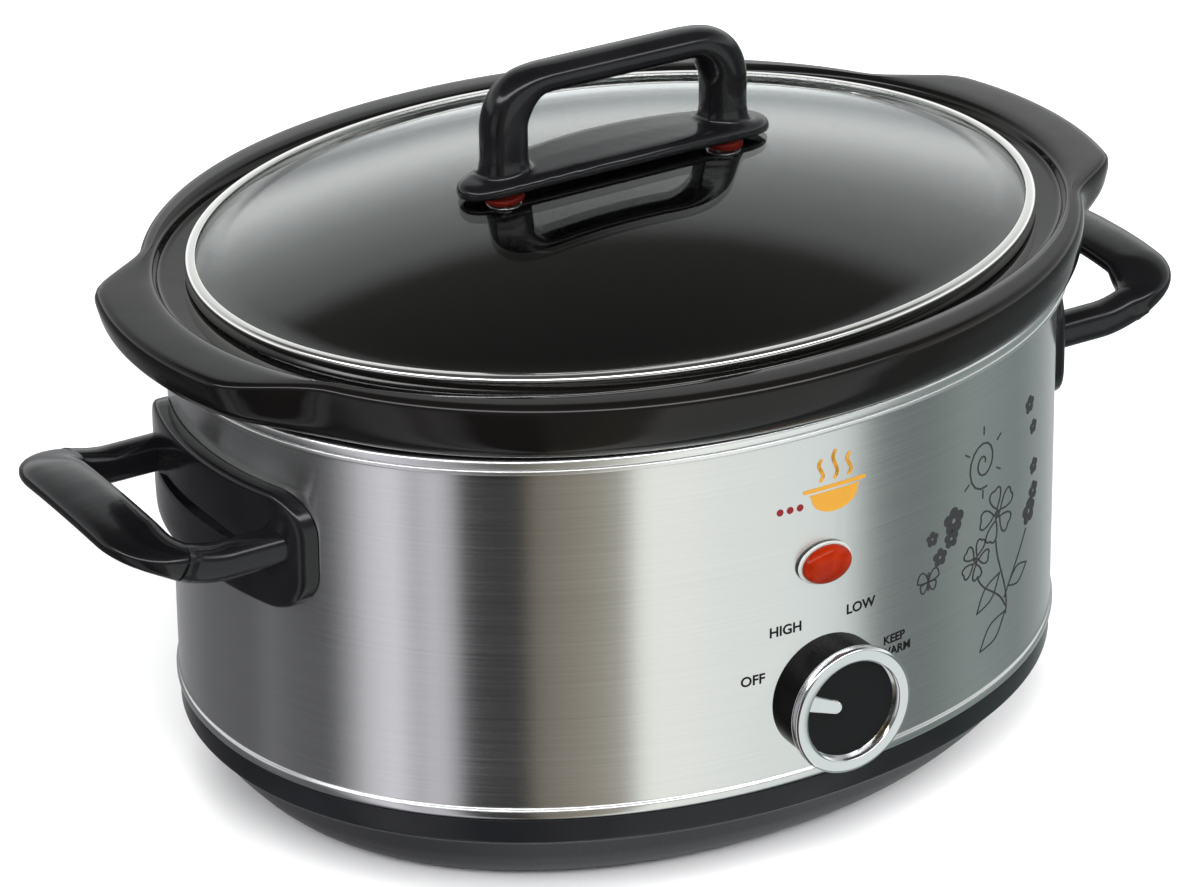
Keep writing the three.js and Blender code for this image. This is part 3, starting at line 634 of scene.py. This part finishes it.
# ------------------------------------------------------------------------- base tray
# Black moulded plastic: a glossy upright band under the shell, then a satin skirt that
# draws in to the table. Six slots each at front and rear of its floor let air through.
tray_low, tray_high = size_mm("base_tray")
band_half = tray_high[1]
skirt_half = 97.3
skirt_more = 1.4
tray_bottom = tray_low[2]
band_bottom = 24.4
band_top = shell_bottom - 0.3
tray_plastic = Finish("base_plastic", Specular_IOR_Level=0.22)
moulding = tray_plastic.noise(1400, 2)
height_here = tray_plastic.node("ShaderNodeSeparateXYZ", {}, {0: tray_plastic.place((1, 1, 1))}, output="Z")
on_band = tray_plastic.node("ShaderNodeMapRange", {}, {
    0: height_here, 1: (band_bottom - 1) * mm, 2: band_bottom * mm, 3: 0.40, 4: 0.20})
tray_plastic.feed("Roughness", on_band + tray_plastic.spread(moulding, -0.03, 0.04))
tray_plastic.tint(tray_plastic.noise(30), (0.006, 0.0064, 0.0075), (0.010, 0.0106, 0.012))
tray_plastic.bump(moulding, 0.00001)
tray_rows = rounded([
    (3.6, 9, 0, 0), (12, 9, 0.5, 0), (13, tray_bottom, 0.4, 0),
    (skirt_half - 3.5, tray_bottom, 0.8, skirt_more),
    (skirt_half, tray_bottom + 0.5, 0.8, skirt_more), (skirt_half + 4.4, 7.4, 2.5, skirt_more * 0.8),
    (skirt_half + 10.2, 13.4, 3.4, 0.6), (band_half - 1.9, band_bottom - 1.2, 1.3, 0),
    (band_half, band_bottom + 0.2, 0.8, 0),
    (band_half, band_top, 0.4, 0), (115.7, band_top, 0, 0), (115.7, shell_bottom + 6, 0.3, 0),
    (113.7, shell_bottom + 6, 0.3, 0), (113.7, band_bottom + 0.6, 1, 0),
    (skirt_half - 3, tray_bottom + 2.6, 1, skirt_more),
    (15, tray_bottom + 2.6, 0.5, 0), (14, 11.4, 0.5, 0), (3.6, 11.4, 0, 0)])
tray = finished("base_tray_moulding", oval_mesh(tray_rows, shell_stretch), tray_plastic)
foot_x, foot_y = (sum(corner[axis] for corner in size_mm("foot_rear_right")) / 2 for axis in (0, 1))


def grid_tree():
    """Geometry Nodes that set a piece out on a grid, realised and in one material."""
    tree = bpy.data.node_groups.new("set_out_on_a_grid", "GeometryNodeTree")
    for name, kind in (("Piece", "Geometry"), ("Length", "Float"), ("Width", "Float"), ("Columns", "Int"),
                       ("Rows", "Int"), ("Centre", "Vector"), ("Finish", "Material")):
        tree.interface.new_socket(name, in_out="INPUT", socket_type="NodeSocket" + kind)
    tree.interface.new_socket("Pieces", in_out="OUTPUT", socket_type="NodeSocketGeometry")
    given = tree.nodes.new("NodeGroupInput")
    grid, place, copies, solid, paint = (tree.nodes.new(kind) for kind in (
        "GeometryNodeMeshGrid", "GeometryNodeTransform", "GeometryNodeInstanceOnPoints",
        "GeometryNodeRealizeInstances", "GeometryNodeSetMaterial"))
    result = tree.nodes.new("NodeGroupOutput")
    for source, target in (
            (given.outputs["Length"], grid.inputs["Size X"]), (given.outputs["Width"], grid.inputs["Size Y"]),
            (given.outputs["Columns"], grid.inputs["Vertices X"]),
            (given.outputs["Rows"], grid.inputs["Vertices Y"]),
            (grid.outputs["Mesh"], place.inputs["Geometry"]),
            (given.outputs["Centre"], place.inputs["Translation"]),
            (place.outputs["Geometry"], copies.inputs["Points"]),
            (given.outputs["Piece"], copies.inputs["Instance"]),
            (copies.outputs["Instances"], solid.inputs["Geometry"]),
            (solid.outputs["Geometry"], paint.inputs["Geometry"]),
            (given.outputs["Finish"], paint.inputs["Material"]),
            (paint.outputs["Geometry"], result.inputs["Pieces"])):
        tree.links.new(source, target)
    return tree


on_grid = grid_tree()


def set_out(piece, length, width, columns, rows, centre, finish):
    """Repeats a piece on a grid, lengths in millimetres, and keeps the result as plain mesh."""
    modifier = piece.modifiers.new("set_out", "NODES")
    modifier.node_group = on_grid
    given = {"Length": length * mm, "Width": width * mm, "Columns": columns, "Rows": rows,
             "Centre": [value * mm for value in centre], "Finish": finish.owner}
    for socket in on_grid.interface.items_tree:
        if socket.in_out == "INPUT" and socket.name in given:
            modifier[socket.identifier] = given[socket.name]
    settle(piece)
    return piece


slot_half_width, slot_half_length, slot_pitch = 1.5, 16, 12
slot_corners = [(x, y, z) for z in (-2, 8) for x, y in (
    (-slot_half_width, -slot_half_length), (slot_half_width, -slot_half_length),
    (slot_half_width, slot_half_length), (-slot_half_width, slot_half_length))]
slot_faces = [(0, 1, 2, 3), (4, 5, 6, 7), (0, 1, 5, 4), (1, 2, 6, 5), (2, 3, 7, 6), (3, 0, 4, 7)]
cutters = []
for centre_x in (-28, 28):
    slots = finished("slots", mesh_of(slot_corners, slot_faces), tray_plastic)
    cutters.append(set_out(slots, 2 * slot_pitch, 92, 3, 2, (centre_x, 0, 0), tray_plastic))
foot_holes = finished("foot_holes", rod(3.2, 0, 8, "Z", (0, 0, 0)), tray_plastic)
cutters.append(set_out(foot_holes, 2 * foot_x, 2 * foot_y, 2, 2, (0, 0, 0), tray_plastic))
cut_away(tray, [cutter.data for cutter in cutters])
for cutter in cutters:
    bpy.data.objects.remove(cutter)
stands_for(tray, "base_plastic", "base", "base_tray")


# ------------------------------------------------------------------------------ feet
# Four push-in rubber feet, all alike. Each has a barb that snaps through its hole in
# the tray, and they stand at the corners of one grid.
rubber = Finish("foot_rubber", Base_Color=(0.02, 0.02, 0.02, 1))
rubber.satin(500, 0.75, 0.9)
rubber.bump(rubber.noise(900), 0.00003)
feet = finished("rubber_feet", turned_mesh(rounded([
    (0, 0, 0), (7.6, 0, 0.5), (8.4, 1, 0.5), (8, tray_bottom - 0.3, 0.4), (2.9, tray_bottom - 0.3, 0),
    (2.9, tray_bottom + 2.9, 0), (3.8, tray_bottom + 2.9, 0.3), (2.4, tray_bottom + 5.2, 0.5),
    (0, tray_bottom + 5.2, 0)], closed=False), closed=False, sides=48), rubber)
set_out(feet, 2 * foot_x, 2 * foot_y, 2, 2, (0, 0, 0), rubber)
stands_for(feet, "foot_rubber", "base", *[
    f"foot_{end}_{side}" for end in ("front", "rear") for side in ("left", "right")])


# ----------------------------------------------------------------------------- crock
# Thick stoneware in a glossy black glaze. Its rim overhangs the pan, has a lifting lip
# at each end, and is stepped inside for the lid to sit in.
crock_high = size_mm("crock")[1]
crock_half, crock_top = crock_high[1], crock_high[2]
crock_stretch = 22
seat_more = 10.6
lip_length = 16.5
lip_inner, lip_outer = 38, 60
ledge = crock_top - 4.2
glaze = Finish("black_glaze", Specular_IOR_Level=0.28)
flow = glaze.noise(22, 3)
specks = glaze.noise(700, 1)
glaze.tint(flow, (0.0025, 0.0025, 0.0025), (0.005, 0.0042, 0.0038))
glaze.feed("Roughness", glaze.spread(flow, 0.03, 0.07) + glaze.spread(specks, 0, 0.02))
glaze.bump(flow * 0.9 + glaze.noise(120, 2) * 0.1, 0.0002)


def lip(y):
    share = min(1, max(0, (abs(y) - lip_inner) / (lip_outer - lip_inner)))
    return lip_length * (1 - share * share * (3 - 2 * share))


crock_rows = rounded([
    (0, 43, 0, 0, 0), (80, 43, 4, 0, 0), (88.4, 48, 6, 0, 0), (106.2, 145, 3, 5, 0),
    (108.4, 149.9, 2, 5.5, 0),
    (112.5, rim_top + 0.7, 3, 5, 0), (119.6, rim_top + 0.7, 1, 4, 0.05), (122.0, rim_top + 1.4, 1.4, 3, 0.12),
    (125.8, rim_top + 4, 3, 1, 0.4),
    (127.9, rim_top + 8, 3, 0, 0.85), (crock_half, crock_top - 0.3, 5.4, 0, 1),
    (crock_half - 6.5, crock_top, 2.4, 1.6, 0.86), (118.4, crock_top, 1.5, 9, 0.1),
    (115.2, crock_top - 0.5, 1.4, seat_more, 0),
    (113.8, ledge, 1.2, seat_more, 0), (106.6, ledge - 0.2, 2.2, 6, 0), (103.4, ledge - 3.4, 2.4, 5, 0),
    (101.8, 156, 4, 4.8, 0), (83.5, 58, 6, 4.8, 0), (79.5, 51.5, 4, 4.8, 0), (70, 50, 3, 4.8, 0),
    (0, 50, 0, 0, 0)],
    closed=False, steps=7)
crock = finished("crock_stoneware", oval_mesh(
    crock_rows, crock_stretch, power=2.05, closed=False, lip=lip), glaze, crease=60)
stands_for(crock, "crock_glaze", "crock", "crock")


# ------------------------------------------------------------------------- lid glass
# A shallow dome of clear tempered glass with a faint green-grey cast, drilled for the
# two handle screws.
glass_high = size_mm("lid_glass")[1]
rim_low, rim_high = size_mm("lid_rim")
lid_half = rim_high[1]
lid_stretch = rim_high[0] - rim_high[1]
dome_half = 105
dome_base = rim_high[2] - 1
dome_rise = glass_high[2] - dome_base
glass_thickness = 4
lid_foot = 39.2


def dome(x, y):
    share = math.hypot(x / (dome_half + lid_stretch), y / dome_half)
    return dome_base + dome_rise * (1 - share ** 2)


clear_glass = Finish("lid_glass", Transmission_Weight=1, IOR=1.6, Roughness=0)
clear_glass.tint(clear_glass.noise(18, 2), (0.86, 0.91, 0.895), (0.90, 0.94, 0.925))
dome_steps = [dome_half * k / 20 for k in range(21)]
dome_rows = ([(w, dome(0, w) - glass_thickness) for w in dome_steps]
             + [(lid_half - 1.3, dome_base - glass_thickness), (lid_half - 1.3, dome_base)]
             + [(w, dome(0, w)) for w in reversed(dome_steps)])
glass = finished("lid_dome", oval_mesh(
    dome_rows, lid_stretch, power=2, fade=dome_half, closed=False), clear_glass)
cut_away(glass, [rod(2.7, 160, 215, "Z", (x, 0, 0)) for x in (-lid_foot, lid_foot)])
stands_for(glass, "lid_glass", "lid", "lid_glass")


# --------------------------------------------------------------------------- lid rim
# A bright steel strip rolled round the edge of the glass.
rim_steel = Finish("rim_steel", Metallic=1)
rim_lines = rim_steel.noise(1, 2, (12, 12, 700))
rim_steel.tint(rim_lines, (0.78, 0.775, 0.75), (0.88, 0.875, 0.85))
rim_steel.feed("Roughness", rim_steel.spread(rim_lines, 0.08, 0.15))
rim_rows = rounded([
    (108.6, rim_low[2], 0.5), (lid_half - 0.4, rim_low[2], 1), (lid_half, rim_low[2] + 1.2, 1.2),
    (lid_half, rim_high[2], 2),
    (108, rim_high[2], 0.5), (108, rim_high[2] - 0.7, 0), (lid_half - 0.9, rim_high[2] - 0.7, 0),
    (lid_half - 0.9, dome_base - glass_thickness - 0.3, 0), (108.6, dome_base - glass_thickness - 0.3, 0)])
lid_rim = finished("lid_rolled_rim", oval_mesh(
    rim_rows, lid_stretch, power=2, fade=dome_half), rim_steel, crease=50)
stands_for(lid_rim, "rim_steel", "lid", "lid_rim")


# ------------------------------------------------------------------------ lid handle
# One black moulding: a square loop with rounded corners, on an eye-shaped base that
# follows the dome. The legs run into the base with soft fillets.
gloss_black = Finish("gloss_plastic", Specular_IOR_Level=0.32)
swirl = gloss_black.noise(35, 3)
gloss_black.tint(swirl, (0.003, 0.003, 0.0034), (0.006, 0.006, 0.007))
gloss_black.feed("Roughness", gloss_black.spread(swirl, 0.09, 0.15)
                 + gloss_black.spread(gloss_black.noise(1500), 0, 0.03))
gloss_black.bump(swirl * 0.7 + gloss_black.noise(260) * 0.3, 0.00012)


def rounded_path(start, corners, end, steps=12):
    """Straight runs joined by rounded corners; a corner is its point and its reach."""
    points = [Vector(start)]
    knots = [Vector(start)] + [Vector(corner) for corner, _ in corners] + [Vector(end)]
    for i, (corner, reach) in enumerate(corners, 1):
        here = knots[i]
        before = here + (knots[i - 1] - here).normalized() * reach
        after = here + (knots[i + 1] - here).normalized() * reach
        for step in range(steps + 1):
            share = step / steps
            a = before.lerp(before.lerp(here, 0.55), share)
            b = before.lerp(here, 0.55).lerp(after.lerp(here, 0.55), share)
            c = after.lerp(here, 0.55).lerp(after, share)
            points.append(a.lerp(b, share).lerp(b.lerp(c, share), share))
    points.append(Vector(end))
    return points


def evenly(points, count):
    """The same path with its points spaced evenly."""
    lengths = [0]
    for a, b in zip(points, points[1:]):
        lengths.append(lengths[-1] + (b - a).length)
    spaced = []
    segment = 0
    for k in range(count + 1):
        target = lengths[-1] * k / count
        while segment < len(points) - 2 and lengths[segment + 1] < target:
            segment += 1
        span = lengths[segment + 1] - lengths[segment]
        spaced.append(points[segment].lerp(points[segment + 1],
            (target - lengths[segment]) / span if span else 0))
    return spaced


def skin(rings):
    """A tube of rings of equal length, closed by a face at each end."""
    count, last = len(rings[0]), len(rings) - 1
    faces = [tuple(range(count)), tuple(last * count + k for k in range(count))]
    for i in range(last):
        for k in range(count):
            beside = (k + 1) % count
            faces.append((i * count + k, (i + 1) * count + k, (i + 1) * count + beside, i * count + beside))
    return mesh_of([point for ring in rings for point in ring], faces)


def bar_mesh(path, normal, section, count=110, sides=36, power=2.4):
    """A bar along a path; section(point) gives its half-sizes across and along normal."""
    points = evenly(path, count)
    rings = []
    for i, point in enumerate(points):
        along = (points[min(i + 1, count)] - points[max(i - 1, 0)]).normalized()
        across = along.cross(normal).normalized()
        upright = across.cross(along)
        half_across, half_upright = section(point)
        ring = []
        for k in range(sides):
            angle = 2 * math.pi * k / sides
            ring.append(tuple(point + across * (half_across * bulge(math.cos(angle), power))
                              + upright * (half_upright * bulge(math.sin(angle), power))))
        rings.append(ring)
    return skin(rings)


def smoothstep(value, low, high):
    share = min(1, max(0, (value - low) / (high - low)))
    return share * share * (3 - 2 * share)


handle_low, handle_high = size_mm("lid_handle")
bar_half_height = 4.6
bar_half_depth = 6.5
bar_z = handle_high[2] - bar_half_height
foot_z = dome(lid_foot, 0) + 2


def lid_bar_section(point):
    leg = smoothstep(abs(point.x), lid_foot - 13, lid_foot - 1)
    flare = (1 - smoothstep(point.z, foot_z, foot_z + 8)) * 1.2
    return bar_half_height + (7.4 - bar_half_height) * leg + flare, bar_half_depth + flare


loop = bar_mesh(rounded_path(
    (-lid_foot, 0, foot_z), [((-lid_foot, 0, bar_z), 14), ((lid_foot, 0, bar_z), 14)], (lid_foot, 0, foot_z)),
    Vector((0, 1, 0)), lid_bar_section)
base_reach = handle_high[0] - 0.5
base_half = -handle_low[1] - 0.4
base_tip = 7.4
base_rings = []
for inset, level_up in ((14, 0.7), (1.2, 0.7), (0.3, 1.0), (0, 1.8), (0, 3.2), (0.5, 4.3),
                        (1.6, 4.9), (3.2, 5.1), (14, 5.1)):
    ring = []
    for k in range(120):
        angle = 2 * math.pi * k / 120
        x = base_reach * bulge(math.cos(angle), 2.2)
        half = base_tip + (base_half - base_tip) * (1 - (x / base_reach) ** 2)
        end_fade = max(0, 1 - abs(math.cos(angle)) ** 14) ** 0.5
        y = half * end_fade * (1 if math.sin(angle) >= 0 else -1) if abs(math.sin(angle)) > 1e-9 else 0
        shrink = max(0, 1 - inset / max(half, 1))
        x_in = x * (1 - min(inset, 8) / base_reach)
        ring.append((x_in, y * shrink, dome(x_in, y * shrink) + level_up))
    base_rings.append(ring)
handle = finished("lid_loop_handle", loop, gloss_black)
handle_base = finished("handle_base", skin(base_rings), gloss_black)
joined = bmesh.new()
joined.from_mesh(handle.data)
joined.from_mesh(handle_base.data)
joined.to_mesh(handle.data)
joined.free()
bpy.data.objects.remove(handle_base)
remesh = handle.modifiers.new("one_moulding", "REMESH")
remesh.mode = "VOXEL"
remesh.voxel_size = 0.75 * mm
soften = handle.modifiers.new("fillets", "SMOOTH")
soften.factor = 0.5
soften.iterations = 8
settle(handle)
handle.data.shade_smooth()
handle.data.materials.clear()
handle.data.materials.append(gloss_black.owner)
stands_for(handle, "gloss_plastic", "lid", "lid_handle")


# ----------------------------------------------------------------- lid screws, seals
# Under the glass each leg is held by a pan-head screw, a steel washer and a red
# silicone seal, which show through the glass.
bright = Finish("fastener_steel", Metallic=1, Base_Color=(0.72, 0.72, 0.71, 1))
bright.satin(300, 0.16, 0.3, 3)
bright.bump(bright.noise(1200), 0.00001)
silicone = Finish("red_silicone", Specular_IOR_Level=0.4)
silicone.tint(silicone.noise(80), (0.50, 0.02, 0.012), (0.62, 0.035, 0.02))
silicone.satin(600, 0.4, 0.55)
under_glass = dome(lid_foot, 0) - glass_thickness
lean = math.atan(2 * dome_rise * lid_foot / (dome_half + lid_stretch) ** 2)
for side, sign in (("left", -1), ("right", 1)):
    spot = (sign * lid_foot, 0, under_glass)
    seal_mesh = turned_mesh(rounded([
        (2.7, -2.3, 0), (6.1, -2.3, 0.5), (6.3, -1.2, 0.5), (5.9, -0.3, 0.3), (2.7, -0.3, 0)]), sides=48)
    seal_mesh.transform(Matrix.Translation(Vector((spot[0], 0, spot[2] - 0.3)) * mm)
                        @ Matrix.Rotation(sign * lean, 4, "Y"))
    seal = finished(f"silicone_seal_{side}", seal_mesh, silicone)
    stands_for(seal, "seal_silicone", "lid", f"lid_seal_{side}")
    washer = finished(f"steel_washer_{side}", turned_mesh(rounded(
        [(2.5, -4.6, 0.1), (5.4, -4.6, 0.3), (5.4, -3.6, 0.3), (2.5, -3.6, 0.1)]), at=spot, sides=48), bright)
    stands_for(washer, "fastener_steel", "lid", f"lid_washer_{side}")
    screw = finished(f"pan_head_screw_{side}", turned_mesh(rounded(
        [(0, -6.4, 0), (1.5, -6.4, 0.2), (1.7, -7.5, 0.2), (3, -7.2, 0.8), (4.1, -6, 0.6),
        (4.1, -4.9, 0.3), (1.9, -4.9, 0),
         (1.9, 16, 0.5), (0, 17, 0)], closed=False), at=spot, closed=False, sides=40), bright)
    stands_for(screw, "fastener_steel", "lid", f"lid_screw_{side}")


# ---------------------------------------------------------------------- side handles
# Each is a moulded loop with round arms that flatten into a wide grip, screwed from
# inside through a curved plate that lies on the shell.
grip_high = size_mm("side_handle_right")[1]
grip_half_width, grip_half_height, arm_half = 10.2, 3.9, 5.7
grip_x = grip_high[0] - grip_half_width
grip_z = grip_high[2] - grip_half_height
plate_low, plate_high = size_mm("handle_plate_right")
plate_half = (plate_high[1] - plate_low[1]) / 2
plate_mid, plate_rise = (plate_high[2] + plate_low[2]) / 2, (plate_high[2] - plate_low[2]) / 2
plate_corner = 13


def side_section(point):
    share = smoothstep(abs(point.x), 168, grip_x - 1)
    return (arm_half - 0.2 + (grip_half_width - arm_half + 0.2) * share,
            arm_half + (grip_half_height - arm_half) * share)


def rounded_loop(half_wide, half_high, radius, arc=10):
    points = []
    for cx, cz, start in (
            (half_wide - radius, -half_high + radius, -90), (half_wide - radius, half_high - radius, 0),
            (-half_wide + radius, half_high - radius, 90), (-half_wide + radius, -half_high + radius, 180)):
        for k in range(arc + 1):
            angle = math.radians(start + 90 * k / arc)
            points.append((cx + radius * math.cos(angle), cz + radius * math.sin(angle)))
        if start in (0, 180):
            sign = 1 if start == 0 else -1
            span = half_wide - radius
            points += [(sign * (span - 2 * span * k / 24), sign * half_high) for k in range(1, 24)]
    return points


def plate_mesh(sign):
    """A rounded plate wrapped on the end of the shell, with a soft outer edge."""
    rings = []
    for inset, proud in ((0, 0.3), (0, 3.4), (0.25, 4.2), (0.9, 4.8), (1.8, 5), (6, 5),
                         (11, 5), (14, 5), (17, 5)):
        outline = rounded_loop(plate_half - inset, plate_rise - inset, max(plate_corner - inset, 1.2))
        rings.append([(sign * shell_x(y, plate_mid + z, proud), y, plate_mid + z) for y, z in outline])
    return skin(rings)


for side, sign in (("left", -1), ("right", 1)):
    def at(x, y, z):
        return (sign * x, y, z)
    path = rounded_path(at(139, -handle_y, handle_z), [
        (at(166, -handle_y, handle_z), 8), (at(grip_x - 1, 1 - handle_y, grip_z - 2), 14),
        (at(grip_x, -12, grip_z), 8),
        (at(grip_x, 12, grip_z), 8), (at(grip_x - 1, handle_y - 1, grip_z - 2), 14),
        (at(166, handle_y, handle_z), 8)],
        at(139, handle_y, handle_z))
    grip = finished(f"side_grip_{side}", bar_mesh(
        path, Vector((0, 0, 1)), side_section, count=150), gloss_black, crease=60)
    stands_for(grip, "gloss_plastic", "base", f"side_handle_{side}")
    plate = finished(f"side_plate_{side}", plate_mesh(sign), gloss_black, crease=40)
    stands_for(plate, "gloss_plastic", "base", f"handle_plate_{side}")


# ------------------------------------------------------------------------------ knob
# A deep black cap on the switch shaft. A chromed ring with a pointer is pressed on its
# front, round a satin black face. It points at OFF.
knob_low, knob_high = size_mm("knob_body")
bezel_low, bezel_high = size_mm("knob_bezel")
knob_back = knob_high[1]
knob_radius = (knob_high[0] - knob_low[0]) / 2
bezel_radius = (bezel_high[0] - bezel_low[0]) / 2
knob_length = knob_back - bezel_low[1]
knob_seat = knob_length - 4
face_radius = 15.6
pointer_turn = math.radians(157)
knob_at = (0, knob_back, knob_z)
knob_black = Finish("knob_plastic", Base_Color=(0.003, 0.003, 0.0032, 1), Specular_IOR_Level=0.04)
knob_black.satin(1200, 0.22, 0.3)
knob_black.bump(knob_black.noise(1600), 0.00001)
knob = finished("knob_cap", turned_mesh(rounded([
    (3.3, 3.4, 0), (6, 3.4, 0.4), (6, knob_seat - 2.2, 0.4), (knob_radius - 2.2, knob_seat - 2.2, 0.6),
    (knob_radius - 1.8, 0, 0.4), (knob_radius - 0.2, 0, 0.5), (knob_radius, knob_seat, 0.3),
    (3.3, knob_seat, 0)]),
    "-Y", knob_at, sides=144), knob_black)
stands_for(knob, "gloss_plastic", "knob", "knob_body")

face_black = Finish("face_plastic", Base_Color=(0.0035, 0.0035, 0.004, 1), Specular_IOR_Level=0.14)
face_black.satin(1200, 0.28, 0.4)
face_black.bump(face_black.noise(1600), 0.00001)
face = finished("knob_front_face", turned_mesh(rounded([
    (0, knob_seat + 0.3, 0), (face_radius, knob_seat + 0.3, 0.2), (face_radius, knob_seat + 1.5, 0.4),
    (8, knob_seat + 1.4, 2), (0, knob_seat + 1.3, 0)], closed=False), "-Y", knob_at, closed=False,
    sides=96), face_black)
stands_for(face, "face_plastic", "knob", "knob_face")

chrome = Finish("bezel_chrome", Metallic=1, Base_Color=(0.66, 0.67, 0.68, 1))
chrome.satin(90, 0.05, 0.12, 3)
ring_mesh = turned_mesh(rounded([
    (face_radius + 0.3, knob_seat + 0.3, 0.1), (bezel_radius - 0.5, knob_seat + 0.3, 0.4),
    (bezel_radius, knob_seat + 1.3, 0.5),
    (bezel_radius, knob_length - 0.7, 0.4), (bezel_radius - 0.8, knob_length, 0.4),
    (face_radius + 0.9, knob_length - 0.12, 0.3),
    (face_radius + 0.3, knob_length - 0.9, 0.3)]), "-Y", knob_at, sides=144)
bezel = finished("knob_ring", ring_mesh, chrome)
outline = [(bezel_radius - 2.4, -2.5), (bezel_radius - 2.4, 2.5)]
pointer_end, pointer_half = 6.3, 1.9
outline += [(pointer_end + pointer_half * math.cos(math.radians(angle)),
             pointer_half * math.sin(math.radians(angle))) for angle in range(90, 271, 15)]
levels = [(0, knob_seat + 1.8), (0, knob_length - 0.75), (0.35, knob_length - 0.35)]
pointer_rings = []
for inset, along in levels:
    ring = []
    for px, pz in outline:
        shrink = 1 - inset / 2.5
        qx, qz = 13 + (px - 13) * (1 - inset / 9), pz * shrink
        ring.append((qx * math.cos(pointer_turn) - qz * math.sin(pointer_turn), knob_back - along,
                     knob_z + qx * math.sin(pointer_turn) + qz * math.cos(pointer_turn)))
    pointer_rings.append(ring)
pointer = finished("pointer", skin(pointer_rings), chrome)
join_modifier = bezel.modifiers.new("join", "BOOLEAN")
join_modifier.operation = "UNION"
join_modifier.object = pointer
settle(bezel)
bpy.data.objects.remove(pointer)
shade(bezel.data, 16)
stands_for(bezel, "bezel_chrome", "knob", "knob_bezel")
# The steel beside the knob stays clear of its reflection, so that the legends read.
for knob_part in (knob, face, bezel):
    knob_part.visible_glossy = False


# ------------------------------------------------------------------------------ lamp
# An oval domed red lens, held by a clear bezel in the shell.
lens_low, lens_high = size_mm("lamp_lens")
lamp_half = (lens_high[2] - lens_low[2]) / 2
lamp_at = (0, -117.4, lamp_z)
red_lens = Finish("lamp_red", Specular_IOR_Level=0.12)
red_lens.tint(red_lens.noise(250, 2), (0.16, 0.008, 0.0005), (0.23, 0.013, 0.001))
red_lens.satin(500, 0.12, 0.22)
lens_rows = [(0, -3), (4.2, -3), (4.2, 1.3), (lamp_half, 1.3)]
lens_rows += [(lamp_half * math.cos(math.radians(angle)), 1.9 + 3.0 * math.sin(math.radians(angle)))
              for angle in range(0, 91, 9)]
lens = finished("lamp_domed_lens", turned_mesh(
    lens_rows, "-Y", lamp_at, lamp_aspect, False, 72), red_lens, crease=50)
stands_for(lens, "lamp_red", "base", "lamp_lens")
clear_plastic = Finish("lamp_clear", Base_Color=(0.38, 0.39, 0.37, 1), Specular_IOR_Level=0.5)
clear_plastic.satin(300, 0.1, 0.2)
lamp_bezel = finished("lamp_clear_bezel", turned_mesh(rounded([
    (4.5, -2.4, 0), (5.1, -2.4, 0), (5.1, 0.3, 0), (lamp_half + 0.7, 0.3, 0.2),
    (lamp_half + 0.6, 1, 0.3), (4.5, 1, 0)]),
    "-Y", lamp_at, lamp_aspect, sides=72), clear_plastic)
stands_for(lamp_bezel, "lamp_clear", "base", "lamp_bezel")


# ------------------------------------------------------------------------ cord gland
# The moulded bush in the rear of the shell that the mains cord comes out of.
gland = finished("gland_bush", turned_mesh(rounded([
    (3.8, -12.2, 0.3), (5.4, -12.2, 0.6), (7.6, -2.6, 1), (9, -2.6, 0.5), (9, 0, 0), (5.9, 0, 0),
    (5.9, 2.4, 0),
    (8, 2.6, 0.4), (8, 4.4, 0.4), (3.8, 4.4, 0.3)]), "-Y", (0, 117.8, gland_z), sides=64), tray_plastic)
stands_for(gland, "base_plastic", "base", "cord_gland")


# -------------------------------------------------------------- pieces in the base
# The working parts keep their own solids: the heater and its clamp, the fuse, the
# switch, the centre stud, the terminal block, the neon lamp, the screws and the leads.
def dress(finish, *names):
    for name in names:
        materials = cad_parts[name].data.materials
        materials.clear()
        materials.append(finish.owner)


tape = Finish("heater_tape", Roughness=0.85)
weave = tape.node("ShaderNodeTexWave", {"wave_type": "BANDS", "bands_direction": "Z"}, {
    "Vector": tape.place((1, 1, 1)), "Scale": 260, "Distortion": 1.5, "Detail": 2}, output="Fac")
tape.feed("Base Color", tape.blend(weave, (0.62, 0.55, 0.43), (0.78, 0.72, 0.60)))
tape.bump(weave, 0.0002)
cream = Finish("switch_plastic")
cream.tint(cream.noise(60), (0.74, 0.71, 0.63), (0.82, 0.79, 0.72))
cream.satin(800, 0.45, 0.6)
brass = Finish("shaft_brass", Metallic=1)
brass.tint(brass.noise(150), (0.62, 0.47, 0.22), (0.74, 0.58, 0.30))
brass.feed("Roughness", brass.spread(brass.noise(1, 2, (300, 3000, 300)), 0.2, 0.36))
dress(tape, "heater_band")
dress(bright, "band_clamp", "clamp_screw", "thermal_fuse", "fuse_clip", "pan_stud", "stud_washer",
    "stud_nut", "switch_nut",
      *[f"handle_screw_{end}_{side}" for end in ("front", "rear") for side in ("left", "right")])
dress(cream, "rotary_switch", "terminal_block")
dress(brass, "switch_shaft")
dress(clear_plastic, "neon_lamp")
for node, color in (("lead_to_switch", (0.20, 0.08, 0.03)), ("lead_to_heater", (0.35, 0.04, 0.03)),
                    ("lead_return", (0.04, 0.10, 0.35)), ("lead_earth", (0.15, 0.30, 0.06))):
    sleeve = Finish(node, Base_Color=(*color, 1))
    sleeve.satin(600, 0.45, 0.65)
    dress(sleeve, node)
